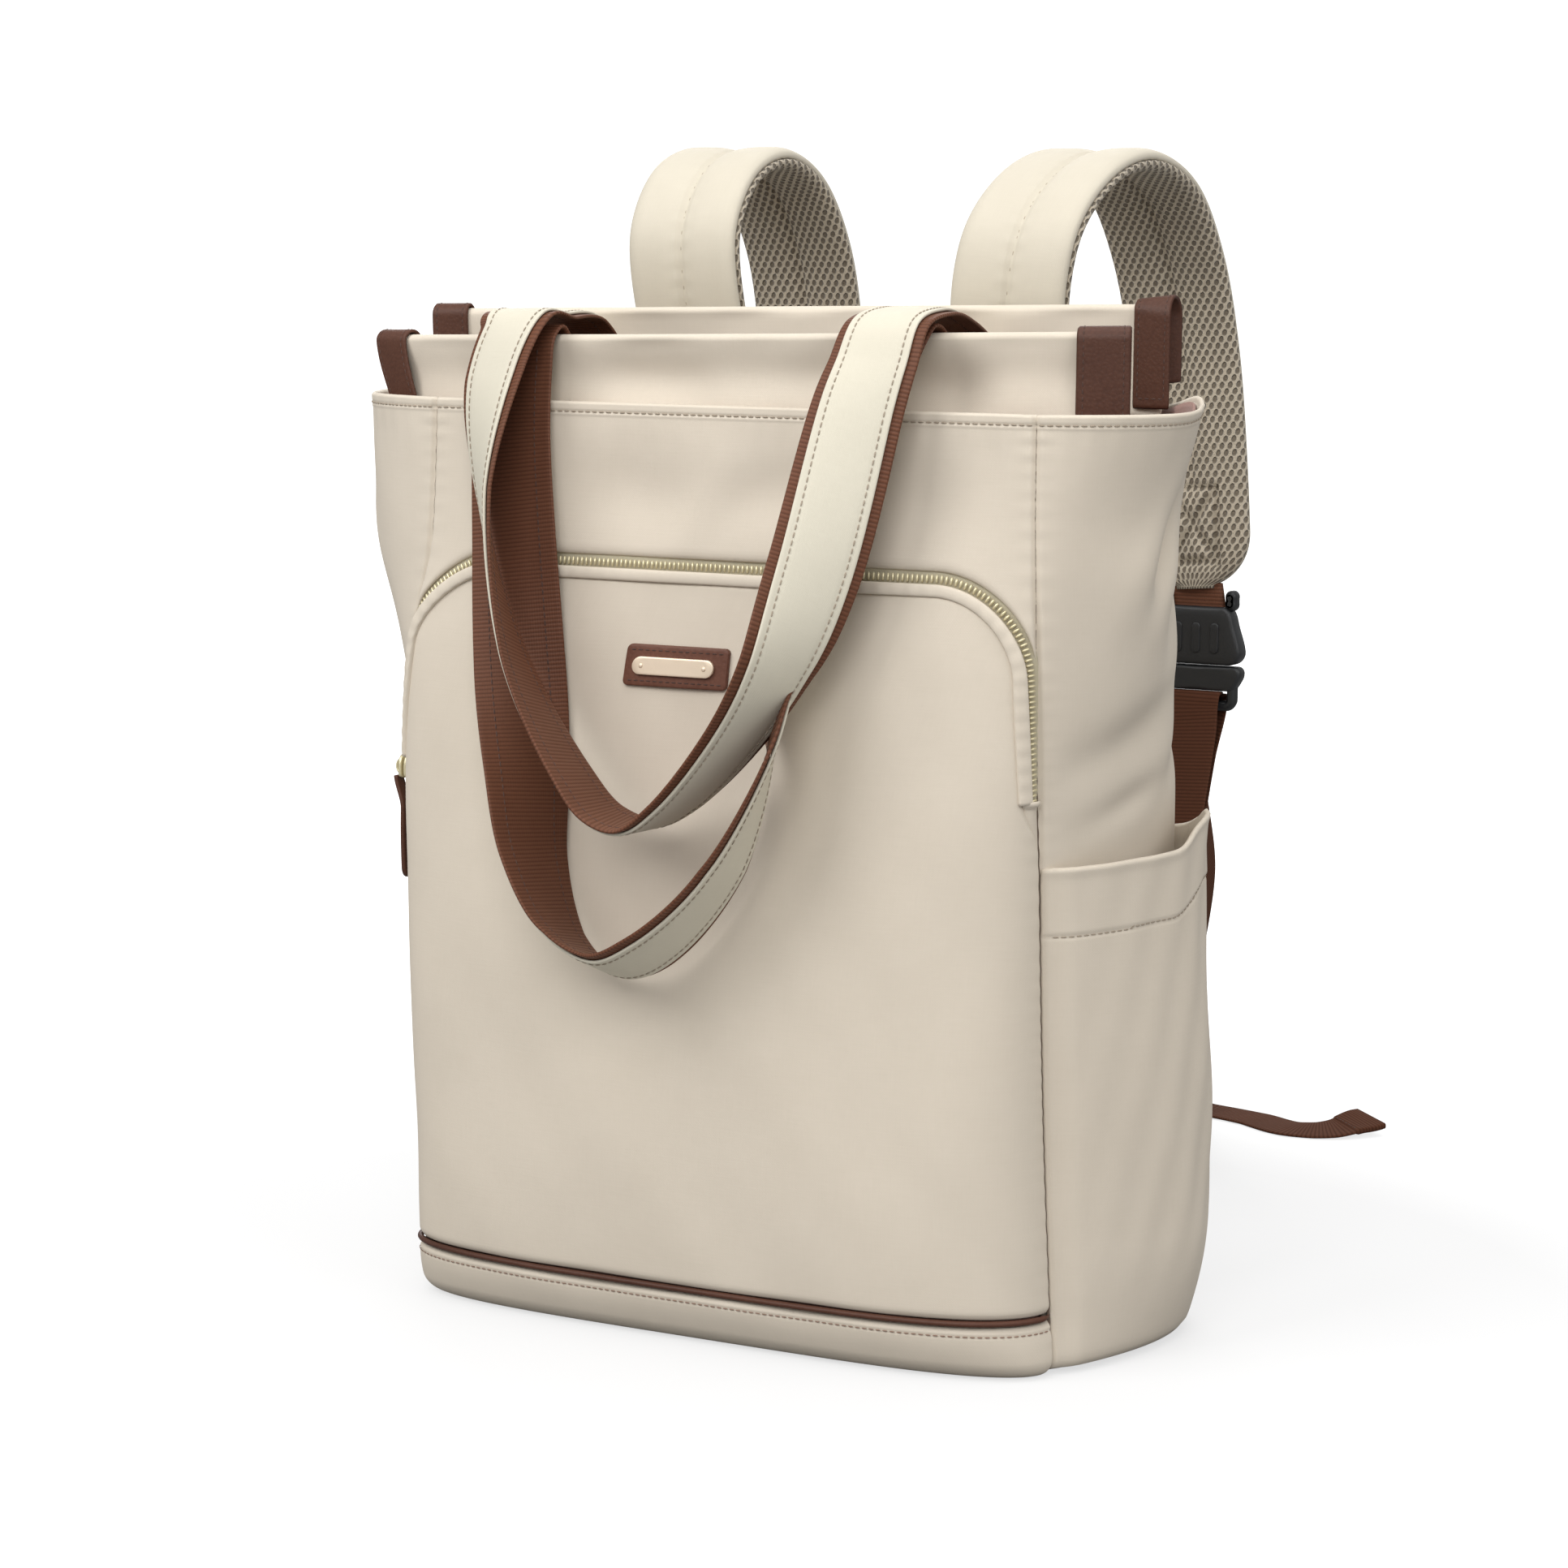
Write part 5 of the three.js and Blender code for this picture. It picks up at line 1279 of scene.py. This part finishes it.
# Label: a soft slab with two rows of stitches, and on it a plate with a domed rivet at each end.
def makeLabel():
    ring = roundedRing(labelLook["wide"], labelLook["tall"], labelLook["round"])
    parts = [slabOnFront(ring, 0.2, 0.4 + labelLook["thick"], 0.6)]
    for high in (-0.5, 0.5):
        seam = np.stack([np.linspace(-0.46, 0.46, 60) * labelLook["wide"],
                         np.full(60, high * (labelLook["tall"] - 2 * labelLook["stitchIn"]))], 1)
        line = onFront(seam, np.full(60, 0.38 + labelLook["thick"]))
        up = outAt("front", np.full(60, 0.46), labelLook["z"] + seam[:, 1])
        parts.append(stitchPart(line, up, 2.9, 2.1, 0.55, 0.05, 1))
    makePiece("labelPatch", parts, [labelLeather, darkThread], ["label_patch"])
    ring = roundedRing(labelLook["plateWide"], labelLook["plateTall"], labelLook["plateTall"] / 2 - 0.05, 14)
    aside = np.array([labelLook["plateShift"], 0])
    base = 0.8 + labelLook["thick"]
    parts = [slabOnFront(ring, base - 0.3, base + labelLook["plateThick"], 0.35, aside)]
    dot = ovalProfile(2.0, 2.0, 14)
    for x in (-labelLook["rivetAt"], labelLook["rivetAt"]):
        rings = [onFront(dot * r + [x, 0] + aside, np.full(14, base + labelLook["plateThick"] + h))
                 for r, h in ((0.95, -0.1), (0.9, 0.18), (0.6, 0.34), (0.2, 0.4))]
        parts.append(ringPart(np.stack(rings)))
    makePiece("labelPlate", parts, [rosePlate], ["label_plate"])


makeLabel()
print("label made")


# Straps: a centripetal Catmull-Rom curve through table rows
def throughPoints(points, fine=60):
    p = np.vstack([2 * points[0] - points[1], points, 2 * points[-1] - points[-2]])
    gap = np.sqrt(np.linalg.norm(np.diff(p, axis=0), axis=1))[:, None, None]
    p0, p1, p2, p3 = p[:-3, None], p[1:-2, None], p[2:-1, None], p[3:, None]
    d0, d1, d2 = gap[:-2], gap[1:-1], gap[2:]
    m1 = ((p1 - p0) / d0 - (p2 - p0) / (d0 + d1) + (p2 - p1) / d1) * d1
    m2 = ((p2 - p1) / d1 - (p3 - p1) / (d1 + d2) + (p3 - p2) / d2) * d1
    t = np.linspace(0, 1, fine, endpoint=False)[None, :, None]
    made = p1 + m1 * t + (3 * (p2 - p1) - 2 * m1 - m2) * t**2 + (2 * (p1 - p2) + m1 + m2) * t**3
    return np.vstack([made.reshape(-1, points.shape[1]), points[-1:]])


# Frames at even steps: rows are x, y, z and the heading of the width in plan, in degrees from +X.
# A roll is a bell round one row: that row's number, how many rows it takes, and its degrees.
def strapRun(rows, step, floorWide=0.0, roll=(0.0, 1.0, 0.0)):
    rows = np.array(rows, float)
    turns = rows[:, 3] if rows.shape[1] > 3 else np.zeros(len(rows))
    fine = throughPoints(rows[:, :3])
    number, heading = throughPoints(np.stack([np.arange(len(rows)), turns], 1)).T
    far = walked(fine)
    s = np.linspace(0, far[-1], int(far[-1] / step) + 1)
    at = readAt(s, far, fine)
    turn = np.radians(np.interp(s, far, heading))
    along = unit(np.gradient(at, axis=0))
    across = np.stack([np.cos(turn), np.sin(turn), 0 * turn], 1)
    across = unit(across - along * np.einsum("ij,ij->i", across, along)[:, None])
    out = np.cross(along, across)
    lean = np.radians(roll[2]) * bell(np.interp(s, far, number) - roll[0], roll[1])[:, None]
    across, out = across * np.cos(lean) + out * np.sin(lean), out * np.cos(lean) - across * np.sin(lean)
    if floorWide:
        at[:, 2] = np.maximum(at[:, 2], np.abs(across[:, 2]) * floorWide / 2 + np.abs(out[:, 2]) * 0.7 + 0.3)
    return {"at": at, "across": across, "out": out, "s": s, "along": along}


# Stretch of a run between two frame numbers.
def cut(run, low, high):
    return {key: value[low:high] for key, value in run.items()}


# Stitches along a run at distances across and out; sign turns them to its other side.
def strapStitch(run, across, out, pitch=3.2, sign=1):
    line = run["at"] + run["across"] * across + run["out"] * out
    return stitchPart(line, run["out"] * sign, pitch, 2.3, 0.6, 0.0, 1)


handleLook = {"webbing": 38.0, "facing": 30.0, "webThick": 1.5, "faceThick": 1.3, "gap": 0.3, "stitchIn": 3.2}
handleRows = {
    "rear": [
        [-100.5, -7.4, 391, 9], [-100.2, -9.6, 404, 5.8], [-100.1, -25.1, 421.3, -2.7],
        [-97.7, -52.9, 423.6, -11.5], [-94.2, -77.3, 422.3, -17], [-96.7, -91.8, 398.8, -22],
        [-90.5, -107.6, 350.2, -52], [-69.5, -118.1, 286.1, -72], [-39, -123.8, 241, -82],
        [-24, -124, 225.5, -86], [-9, -121.5, 221.5, -92], [8, -120, 231, -100],
        [38, -122, 262.4, -110], [56.5, -125, 290, -119], [67, -116, 327.3, -142],
        [75.9, -97.9, 391.6, -168], [78, -90.5, 407.5, -175.4], [78.7, -80, 423, -180.9],
        [78.4, -58.7, 427.5, -182.5], [73.9, -32, 425, -180.6], [68.7, 1.1, 414.5, -174.8],
        [68.8, 16.2, 400.8, -171.9], [70.5, 18.6, 390.8, -171]],
    "front": [
        [-95, -61.6, 398, -186], [-95.1, -61.5, 412.5, -186], [-95.2, -67.5, 418.4, -184.6],
        [-95.1, -75, 414, -182.1], [-94.5, -78.6, 401, -181.7], [-93, -82.8, 373, -180.4],
        [-87.4, -89.5, 331, -173.4], [-80.2, -97.3, 286, -156.9], [-71.2, -106.3, 241.8, -127.4],
        [-63.5, -112.8, 203.3, -104.3], [-47, -117.1, 174.3, -90], [-25, -117.3, 162.5, -88.2],
        [-2.5, -118, 172.5, -92], [28, -116.1, 206, -85.9], [45.7, -110, 256, -60],
        [44.4, -102, 276, -44], [44.7, -98, 294, -28], [51.8, -92.8, 327.9, -8], [68.5, -87.5, 385.3, -4],
        [73.4, -82, 404, -1.5], [75.6, -76.8, 415, 1.3], [76.3, -68.5, 421.6, 3.8], [76.3, -60.2, 417, 5.9],
        [76.2, -60.3, 398.8, 6]],
}
handleRoll = {"rear": (0.0, 1.0, 0.0), "front": (11.3, 1.6, -22.0)}
bareShare = {"rear": 0.033, "front": 0.06}   # length of webbing left bare at each end


# Handle: a webbing strip along its run, and on it a narrower canvas facing, pressed in along two stitch rows.
def makeHandle(name):
    look = handleLook
    run = strapRun(handleRows[name], 1.5, roll=handleRoll[name])
    bare = int(bareShare[name] * len(run["s"]))
    covered = cut(run, bare, -bare)
    inset = look["facing"] / 2 - look["stitchIn"]
    high = look["gap"] + look["faceThick"]
    face = stripProfile(look["facing"], look["gap"], high, 25, 0.3)
    face[:, 1] -= 0.35 * bell(np.abs(face[:, 0]) - inset, 0.8) * (face[:, 1] > 1.0)
    webbing = [sweepPart(run, stripProfile(look["webbing"], -look["webThick"], 0.0, 25))]
    facing = [sweepPart(covered, face)]
    for a in (-inset, inset):
        webbing.append(strapStitch(covered, a, -look["webThick"] - 0.02, sign=-1))
        facing.append(strapStitch(covered, a, high + 0.1))
    makePiece(f"{name}HandleWebbing", webbing, [brownWeb, darkThread],
              [f"{name}_handle_webbing"])
    makePiece(f"{name}HandleFacing", facing, [paleCanvas, thread], [f"{name}_handle_facing"])


for name in ("rear", "front"):
    makeHandle(name)
print("handles made")

strapLook = {"wide": 54.0, "cover": 5.0, "mesh": 5.0, "gap": 0.3, "seamDeep": 3.0, "meshDeep": 3.3,
             "boxFrom": 12.0, "boxTall": 34.0, "boxWide": 24.0, "coverBox": 1.5, "meshBox": 3.3,
             "coverLess": 1.5, "endRound": 26.0, "edgeRound": 7.5}
strapRows = {
    "right": [[72, 66, 336], [73, 61.8, 366], [73, 57.5, 396], [74, 42, 425], [77, 46, 458], [79, 76, 482],
              [81, 118, 491.5], [83, 160, 480], [84, 189, 450], [86, 205, 408], [90, 209, 352],
              [94, 207, 300]],
    "left": [[-80, 66, 336], [-80, 61.8, 366], [-80, 57.5, 396], [-80, 42, 425], [-82, 40, 458],
             [-84, 61, 483], [-85, 94, 492], [-85, 127, 481], [-84, 150, 452], [-84, 163, 410],
             [-86, 170, 352], [-89, 172, 300]],
}


# Pad profile: two soft rolls on either side of a sewn line along the middle, rounded off to the seams.
# Near the lower end a box with a cross is sewn in instead of the line.
def padRings(run, wide, low, high, deep, boxDeep):
    start, tall, broad = strapLook["boxFrom"], strapLook["boxTall"], strapLook["boxWide"]
    left = (run["s"][-1] - run["s"])[:, None]
    end = np.clip(left / strapLook["endRound"], 0, 1)
    half = wide / 2 * np.sqrt(np.clip(1 - (1 - end) ** 2.2, 0.12, 1))
    x = crowded(64, 0.07)[None] * 2 - 1
    across = x * half
    edge = np.clip((1 - np.abs(x)) * half / strapLook["edgeRound"], 0, 1)
    puff = np.sqrt(np.clip(1 - (1 - edge) ** 2, 0, 1))
    sewnTo = smooth(left, start + tall - 1, start + tall + 3)
    pull = deep * (0.5 * bell(across, 1.3) + 0.5 * bell(across, 6)) * sewnTo
    pull = pull + 0.16 * np.sin(run["s"][:, None] * 0.8) * bell(np.abs(across) - 2.5, 2.5) * sewnTo
    down = left - start
    slant = down / tall - 0.5
    inside = (np.abs(down - tall / 2) < tall / 2 + 1.5) & (np.abs(across) < broad / 2 + 1.5)
    frameLine = np.minimum(np.abs(np.abs(across) - broad / 2), np.minimum(np.abs(down), np.abs(down - tall)))
    crossLine = np.minimum(np.abs(across / broad - slant), np.abs(across / broad + slant)) * broad * 0.8
    sewn = boxDeep * inside * np.maximum(bell(frameLine, 1.9), bell(crossLine, 1.9))
    thick = high - low
    top = low + np.sign(thick) * np.maximum(np.abs(thick) * lerp(0.25, 1, puff) - pull - sewn, 0.9)
    under = np.stack([across[:, ::-1] * 0.985, np.full_like(top, low)], -1)
    return np.concatenate([np.stack([across, top], -1), under], 1)


# Shoulder strap: a canvas pad and a mesh pad back to back on one run, sewn together along the middle.
def makeStrap(side):
    look = strapLook
    run = strapRun(strapRows[side], 1.5)
    base = look["gap"] / 2
    cover = padRings(run, look["wide"] - look["coverLess"], -base, -base - look["cover"], look["seamDeep"],
                     look["coverBox"])
    mesh = padRings(run, look["wide"], base, base + look["mesh"], look["meshDeep"], look["meshBox"])
    sewnAt = -base - look["cover"] + look["seamDeep"] - 0.1
    parts = [sweepPart(run, cover), strapStitch(cut(run, 2, -33), 0.0, sewnAt, 3.4, -1)]
    # The cover's canvas is the darker copy of the pale canvas, painted shade.
    pad = makePiece(f"{side}StrapCover", parts, [strapCanvasShaded, thread], [f"{side}_strap_cover"])
    pad = makePiece(f"{side}StrapMesh", [sweepPart(run, mesh)], [padMesh], [f"{side}_strap_mesh"])


for side in ("right", "left"):
    makeStrap(side)
print("straps made")

lowerLook = {"wide": 25.0, "thick": 1.4, "loopThick": 4.0, "stitchAt": 9.5, "hemStitch": 10.0}
webbingRows = {
    "right": [[96, 206, 252.8], [96, 202, 252.4], [96, 199.5, 246], [97, 196, 236], [101, 166, 180],
              [110, 126, 112], [114, 96, 64], [115, 80, 44], [115, 77.8, 22]],
    "left": [[-90, 171, 252.8], [-90, 167, 252.4], [-90, 164.5, 246], [-91, 161, 236], [-99, 138, 172],
             [-107, 110, 112], [-112, 92, 66], [-114, 80, 46], [-114, 77.8, 22]],
}
tailRows = {
    "right": [[96, 208.4, 251.3, 0], [96, 211.4, 251.2, 0], [96, 213, 247, -8], [94.5, 217, 226, -40],
              [93.5, 224, 200, -68], [90, 236, 160, -84], [78, 254, 116, -80], [54, 300, 62, -74],
              [23, 372, 20, -84], [-3, 419, 5, -100], [4, 446, 1.8, -128], [36, 441, 1.4, -114],
              [64, 427, 1.4, -92], [84, 432, 3.2, -68], [93.5, 442, 6, -58], [98.5, 449.5, 7, -56]],
    "left": [[-90, 173.4, 251.3, 0], [-90, 176.4, 251.2, 0], [-90, 178, 247, 0], [-91, 182, 220, 0],
             [-93, 185, 160, 0], [-94, 186, 90, 0], [-95, 184, 34, 0]],
}
tailRoll = {"right": (14.2, 2.0, 12.0), "left": (0.0, 1.0, 0.0)}
buckleAt = {"right": (96, 207, 279), "left": (-90, 172, 279)}


# Lower webbing: a flat strip along its run, stitched down at its foot.
def makeLowerWebbing(side):
    half = lowerLook["thick"] / 2
    run = strapRun(webbingRows[side], 1.2)
    parts = [sweepPart(run, stripProfile(lowerLook["wide"], -half, half, 17))]
    foot = cut(run, -26, -4)
    for a in (-lowerLook["stitchAt"], lowerLook["stitchAt"]):
        parts.append(strapStitch(foot, a, half, 2.8))
        parts.append(strapStitch(foot, a, -half, 2.8, -1))
    # The lower webbing wears the darker copy of the webbing, painted shade.
    makePiece(f"{side}LowerWebbing", parts, [shadedWeb, darkThread], [f"{side}_lower_webbing"])


# Free tail: the same strip, kept above the floor, doubled at its end and stitched across there.
def makeTail(side):
    half = lowerLook["thick"] / 2
    run = strapRun(tailRows[side], 1.2, lowerLook["wide"], tailRoll[side])
    flat = stripProfile(lowerLook["wide"], -half, half, 17)
    doubled = 1 + 1.1 * smooth(run["s"] - run["s"][-1], -17, -15.5)
    parts = [sweepPart(run, flat[None] * np.stack([np.ones_like(doubled), doubled], 1)[:, None])]
    at, across, out = (run[key][-14] for key in ("at", "across", "out"))
    wide = np.linspace(-lowerLook["hemStitch"], lowerLook["hemStitch"], 20)[:, None]
    for sign in (1, -1):
        line = at + across * wide + out * sign * 1.45
        parts.append(stitchPart(line, np.tile(out * sign, (20, 1)), 2.8, 2.0, 0.5, 0.0, 1))
    # The tail wears the darker copy of the webbing, painted shade.
    makePiece(f"{side}WebbingTail", parts, [shadedWeb, darkThread], [f"{side}_webbing_tail"])


# Strap loop: a thick flat strip, straight from the pad's end to the buckle.
def makeStrapLoop(side):
    half = lowerLook["loopThick"] / 2
    ends = (np.array(strapRows[side][-1], float) + [0, 0, 3], np.array(buckleAt[side], float) + [0, 0, 12.5])
    loop = straightRun(lerp(*ends, np.linspace(0, 1, 14)[:, None]), [1.0, 0, 0], [0, 1.0, 0])
    strip = sweepPart(loop, stripProfile(lowerLook["wide"], -half, half, 17))
    makePiece(f"{side}StrapLoop", [strip], [brownWeb], [f"{side}_strap_loop"])


# Moulded block: a rounded outline carried through the depth, drawn in at both faces.
def mouldedBlock(middle, ring, thick, soft):
    depth = thick / 2
    layers = [(ring * k, depth) for k in (0.05, 0.35, 0.65)]
    layers += [(ring - unit(ring) * soft, depth), (ring - unit(ring) * (soft * 0.3), depth - soft * 0.3),
               (ring, depth - soft)]
    layers += [(flat, -at) for flat, at in layers[::-1]]
    rings = [np.stack([flat[:, 0], np.full(len(ring), at), flat[:, 1]], 1) for flat, at in layers]
    return ringPart(np.stack(rings) + middle)


# Frame round a slot: a rounded bar carried along a rounded rectangle.
def slotFrame(middle, wide, tall, bar, thick):
    ring = roundedRing(wide, tall, 3.0, 8, 10)
    ring = np.concatenate([ring, ring[:2]])
    at = np.stack([ring[:, 0], 0 * ring[:, 0], ring[:, 1]], 1) + middle
    along = unit(np.gradient(at, axis=0))
    out = np.tile([0.0, 1, 0], (len(at), 1))
    run = {"at": at, "across": np.cross(out, along), "out": out}
    return sweepPart(run, stripProfile(bar, -thick / 2, thick / 2, 5))


buckleLook = {"wide": 43.0, "neck": 34.0, "tall": 26.6, "thick": 10.0, "ribWide": 4.2, "ribTall": 14.0,
              "ribStep": 9.0, "earAt": (15.6, 16.2), "prongDrop": 24.4, "prongTall": 11.4, "slotWide": 33.2}


# Buckle socket: a block narrowed upwards, with three ribs on each face and two ears above.
def makeSocket(side):
    look = buckleLook
    middle = np.array(buckleAt[side], float)
    ring = roundedRing(look["wide"], look["tall"], 6)
    ring[:, 0] *= lerp(1, look["neck"] / look["wide"], smooth(ring[:, 1], -9, 11))
    parts = [mouldedBlock(middle, ring, look["thick"], 1.8)]
    rib = roundedRing(look["ribWide"], look["ribTall"], 1.9, 5, 6)
    for x in (-look["ribStep"], 0, look["ribStep"]):
        for y in (-look["thick"] / 2, look["thick"] / 2):
            parts.append(mouldedBlock(middle + [x, y, -1], rib, 1.2, 0.5))
    x, z = look["earAt"]
    for at in (-x, x):
        parts.append(mouldedBlock(middle + [at, 0, z], roundedRing(5.6, 9.4, 2.7, 6, 6), 8.0, 2.4))
    makePiece(f"{side}BuckleSocket", parts, [blackPlastic], [f"{side}_buckle_socket"])


# Buckle prong: a block narrowed downwards, a frame round the slot, and the rod that the webbing turns on.
def makeProng(side):
    look = buckleLook
    low = np.array(buckleAt[side], float) - [0, 0, look["prongDrop"]]
    block = roundedRing(look["wide"], look["prongTall"], 3.0)
    block[:, 0] *= lerp(1, 0.86, smooth(-block[:, 1], -2, 5.5))
    parts = [slotFrame(low - [0, 0, 2], look["slotWide"], look["prongTall"], 5.0, 7.0),
             mouldedBlock(low + [0, 0, 4.8], block, 8.4, 1.8)]
    bar = np.linspace(-15, 15, 9)
    rod = straightRun(low + np.stack([bar, 0 * bar, 0 * bar - 6.9], 1), [0, 0, 1.0], [0, 1.0, 0])
    parts.append(sweepPart(rod, stripProfile(3.4, -2.6, 2.6, 5)))
    makePiece(f"{side}BuckleProng", parts, [blackPlastic], [f"{side}_buckle_prong"])


for side in ("right", "left"):
    makeLowerWebbing(side)
    makeTail(side)
    makeStrapLoop(side)
    makeSocket(side)
    makeProng(side)
print("webbing and buckles made")

# Studio: pale floor, soft light
studio = {"floor": (0.27, 0.27, 0.27), "glow": (0.66, 1.3), "glowFrom": (0.34, 0.9), "sky": 0.42,
          "seenSky": 1.2, "floorHalf": 30}
lamps = {   # place, aim, size in metres and power
    "keyLight": ((-1.3, -2.2, 2.3), (0, 0, 0.2), 1.8, 52.0),
    "frontLight": ((0.9, -2.5, 1.9), (0, 0, 0.2), 1.6, 36.0),
    "fillLight": ((2.5, -0.7, 1.5), (0, 0, 0.25), 1.8, 20.0),
    "topLight": ((0.2, -0.1, 2.8), (0, 0, 0), 2.2, 31.0),
    "backLight": ((-1.3, 2.3, 1.4), (0, 0, 0.25), 1.8, 24.0),
}


# Square lamp whose back points away from its aim.
def makeLight(name, at, aim, size, power):
    data = bpy.data.lights.new(name, "AREA")
    data.shape = "SQUARE"
    data.size = size
    data.energy = power
    light = bpy.data.objects.new(name, data)
    bpy.context.collection.objects.link(light)
    back = unit(np.array(at, float) - aim)
    side = unit(np.cross([0, 0, 1.0], back) + [1e-6, 0, 0])
    turned = np.eye(4)
    turned[:3, :4] = np.stack([side, np.cross(back, side), back, at], 1)
    light.matrix_world = Matrix(turned.tolist())


# Floor that takes shadows and, to the camera alone, glows more the further it lies from the bag.
def makeFloor():
    half = studio["floorHalf"]
    mesh = bpy.data.meshes.new("studioFloor")
    corners = [(-half, -half, 0), (half, -half, 0), (half, half, 0), (-half, half, 0)]
    mesh.from_pydata(corners, [], [(0, 1, 2, 3)])
    floor = bpy.data.objects.new("studioFloor", mesh)
    bpy.context.collection.objects.link(floor)
    finish, tree, shader, _, place = newFinish("paleFloor", {
        "Base Color": (*studio["floor"], 1), "Roughness": 0.9, "Specular IOR Level": 0.0,
        "Emission Color": (1, 1, 1, 1)})
    seen = tree.nodes.new("ShaderNodeLightPath").outputs["Is Camera Ray"]
    far = wire(tree, "ShaderNodeVectorMath", {0: place}, operation="LENGTH").outputs["Value"]
    glow = ranged(tree, far, *studio["glowFrom"], *studio["glow"])
    tree.links.new(math(tree, "MULTIPLY", seen, glow), shader.inputs["Emission Strength"])
    mesh.materials.append(finish)


# Even sky, brighter where the camera sees it.
def makeSky():
    world = bpy.data.worlds.new("softSky")
    world.use_nodes = True
    tree = world.node_tree
    tree.nodes.clear()
    seen = tree.nodes.new("ShaderNodeLightPath").outputs["Is Camera Ray"]
    strength = ranged(tree, seen, 0, 1, studio["sky"], studio["seenSky"])
    sky = wire(tree, "ShaderNodeBackground", {"Color": (1, 1, 1, 1), "Strength": strength})
    tree.links.new(sky.outputs[0], tree.nodes.new("ShaderNodeOutputWorld").inputs[0])
    bpy.context.scene.world = world
    bpy.context.scene.view_settings.view_transform = "Standard"


makeFloor()
makeSky()
for name, lamp in lamps.items():
    makeLight(name, *lamp)
print("scene made")
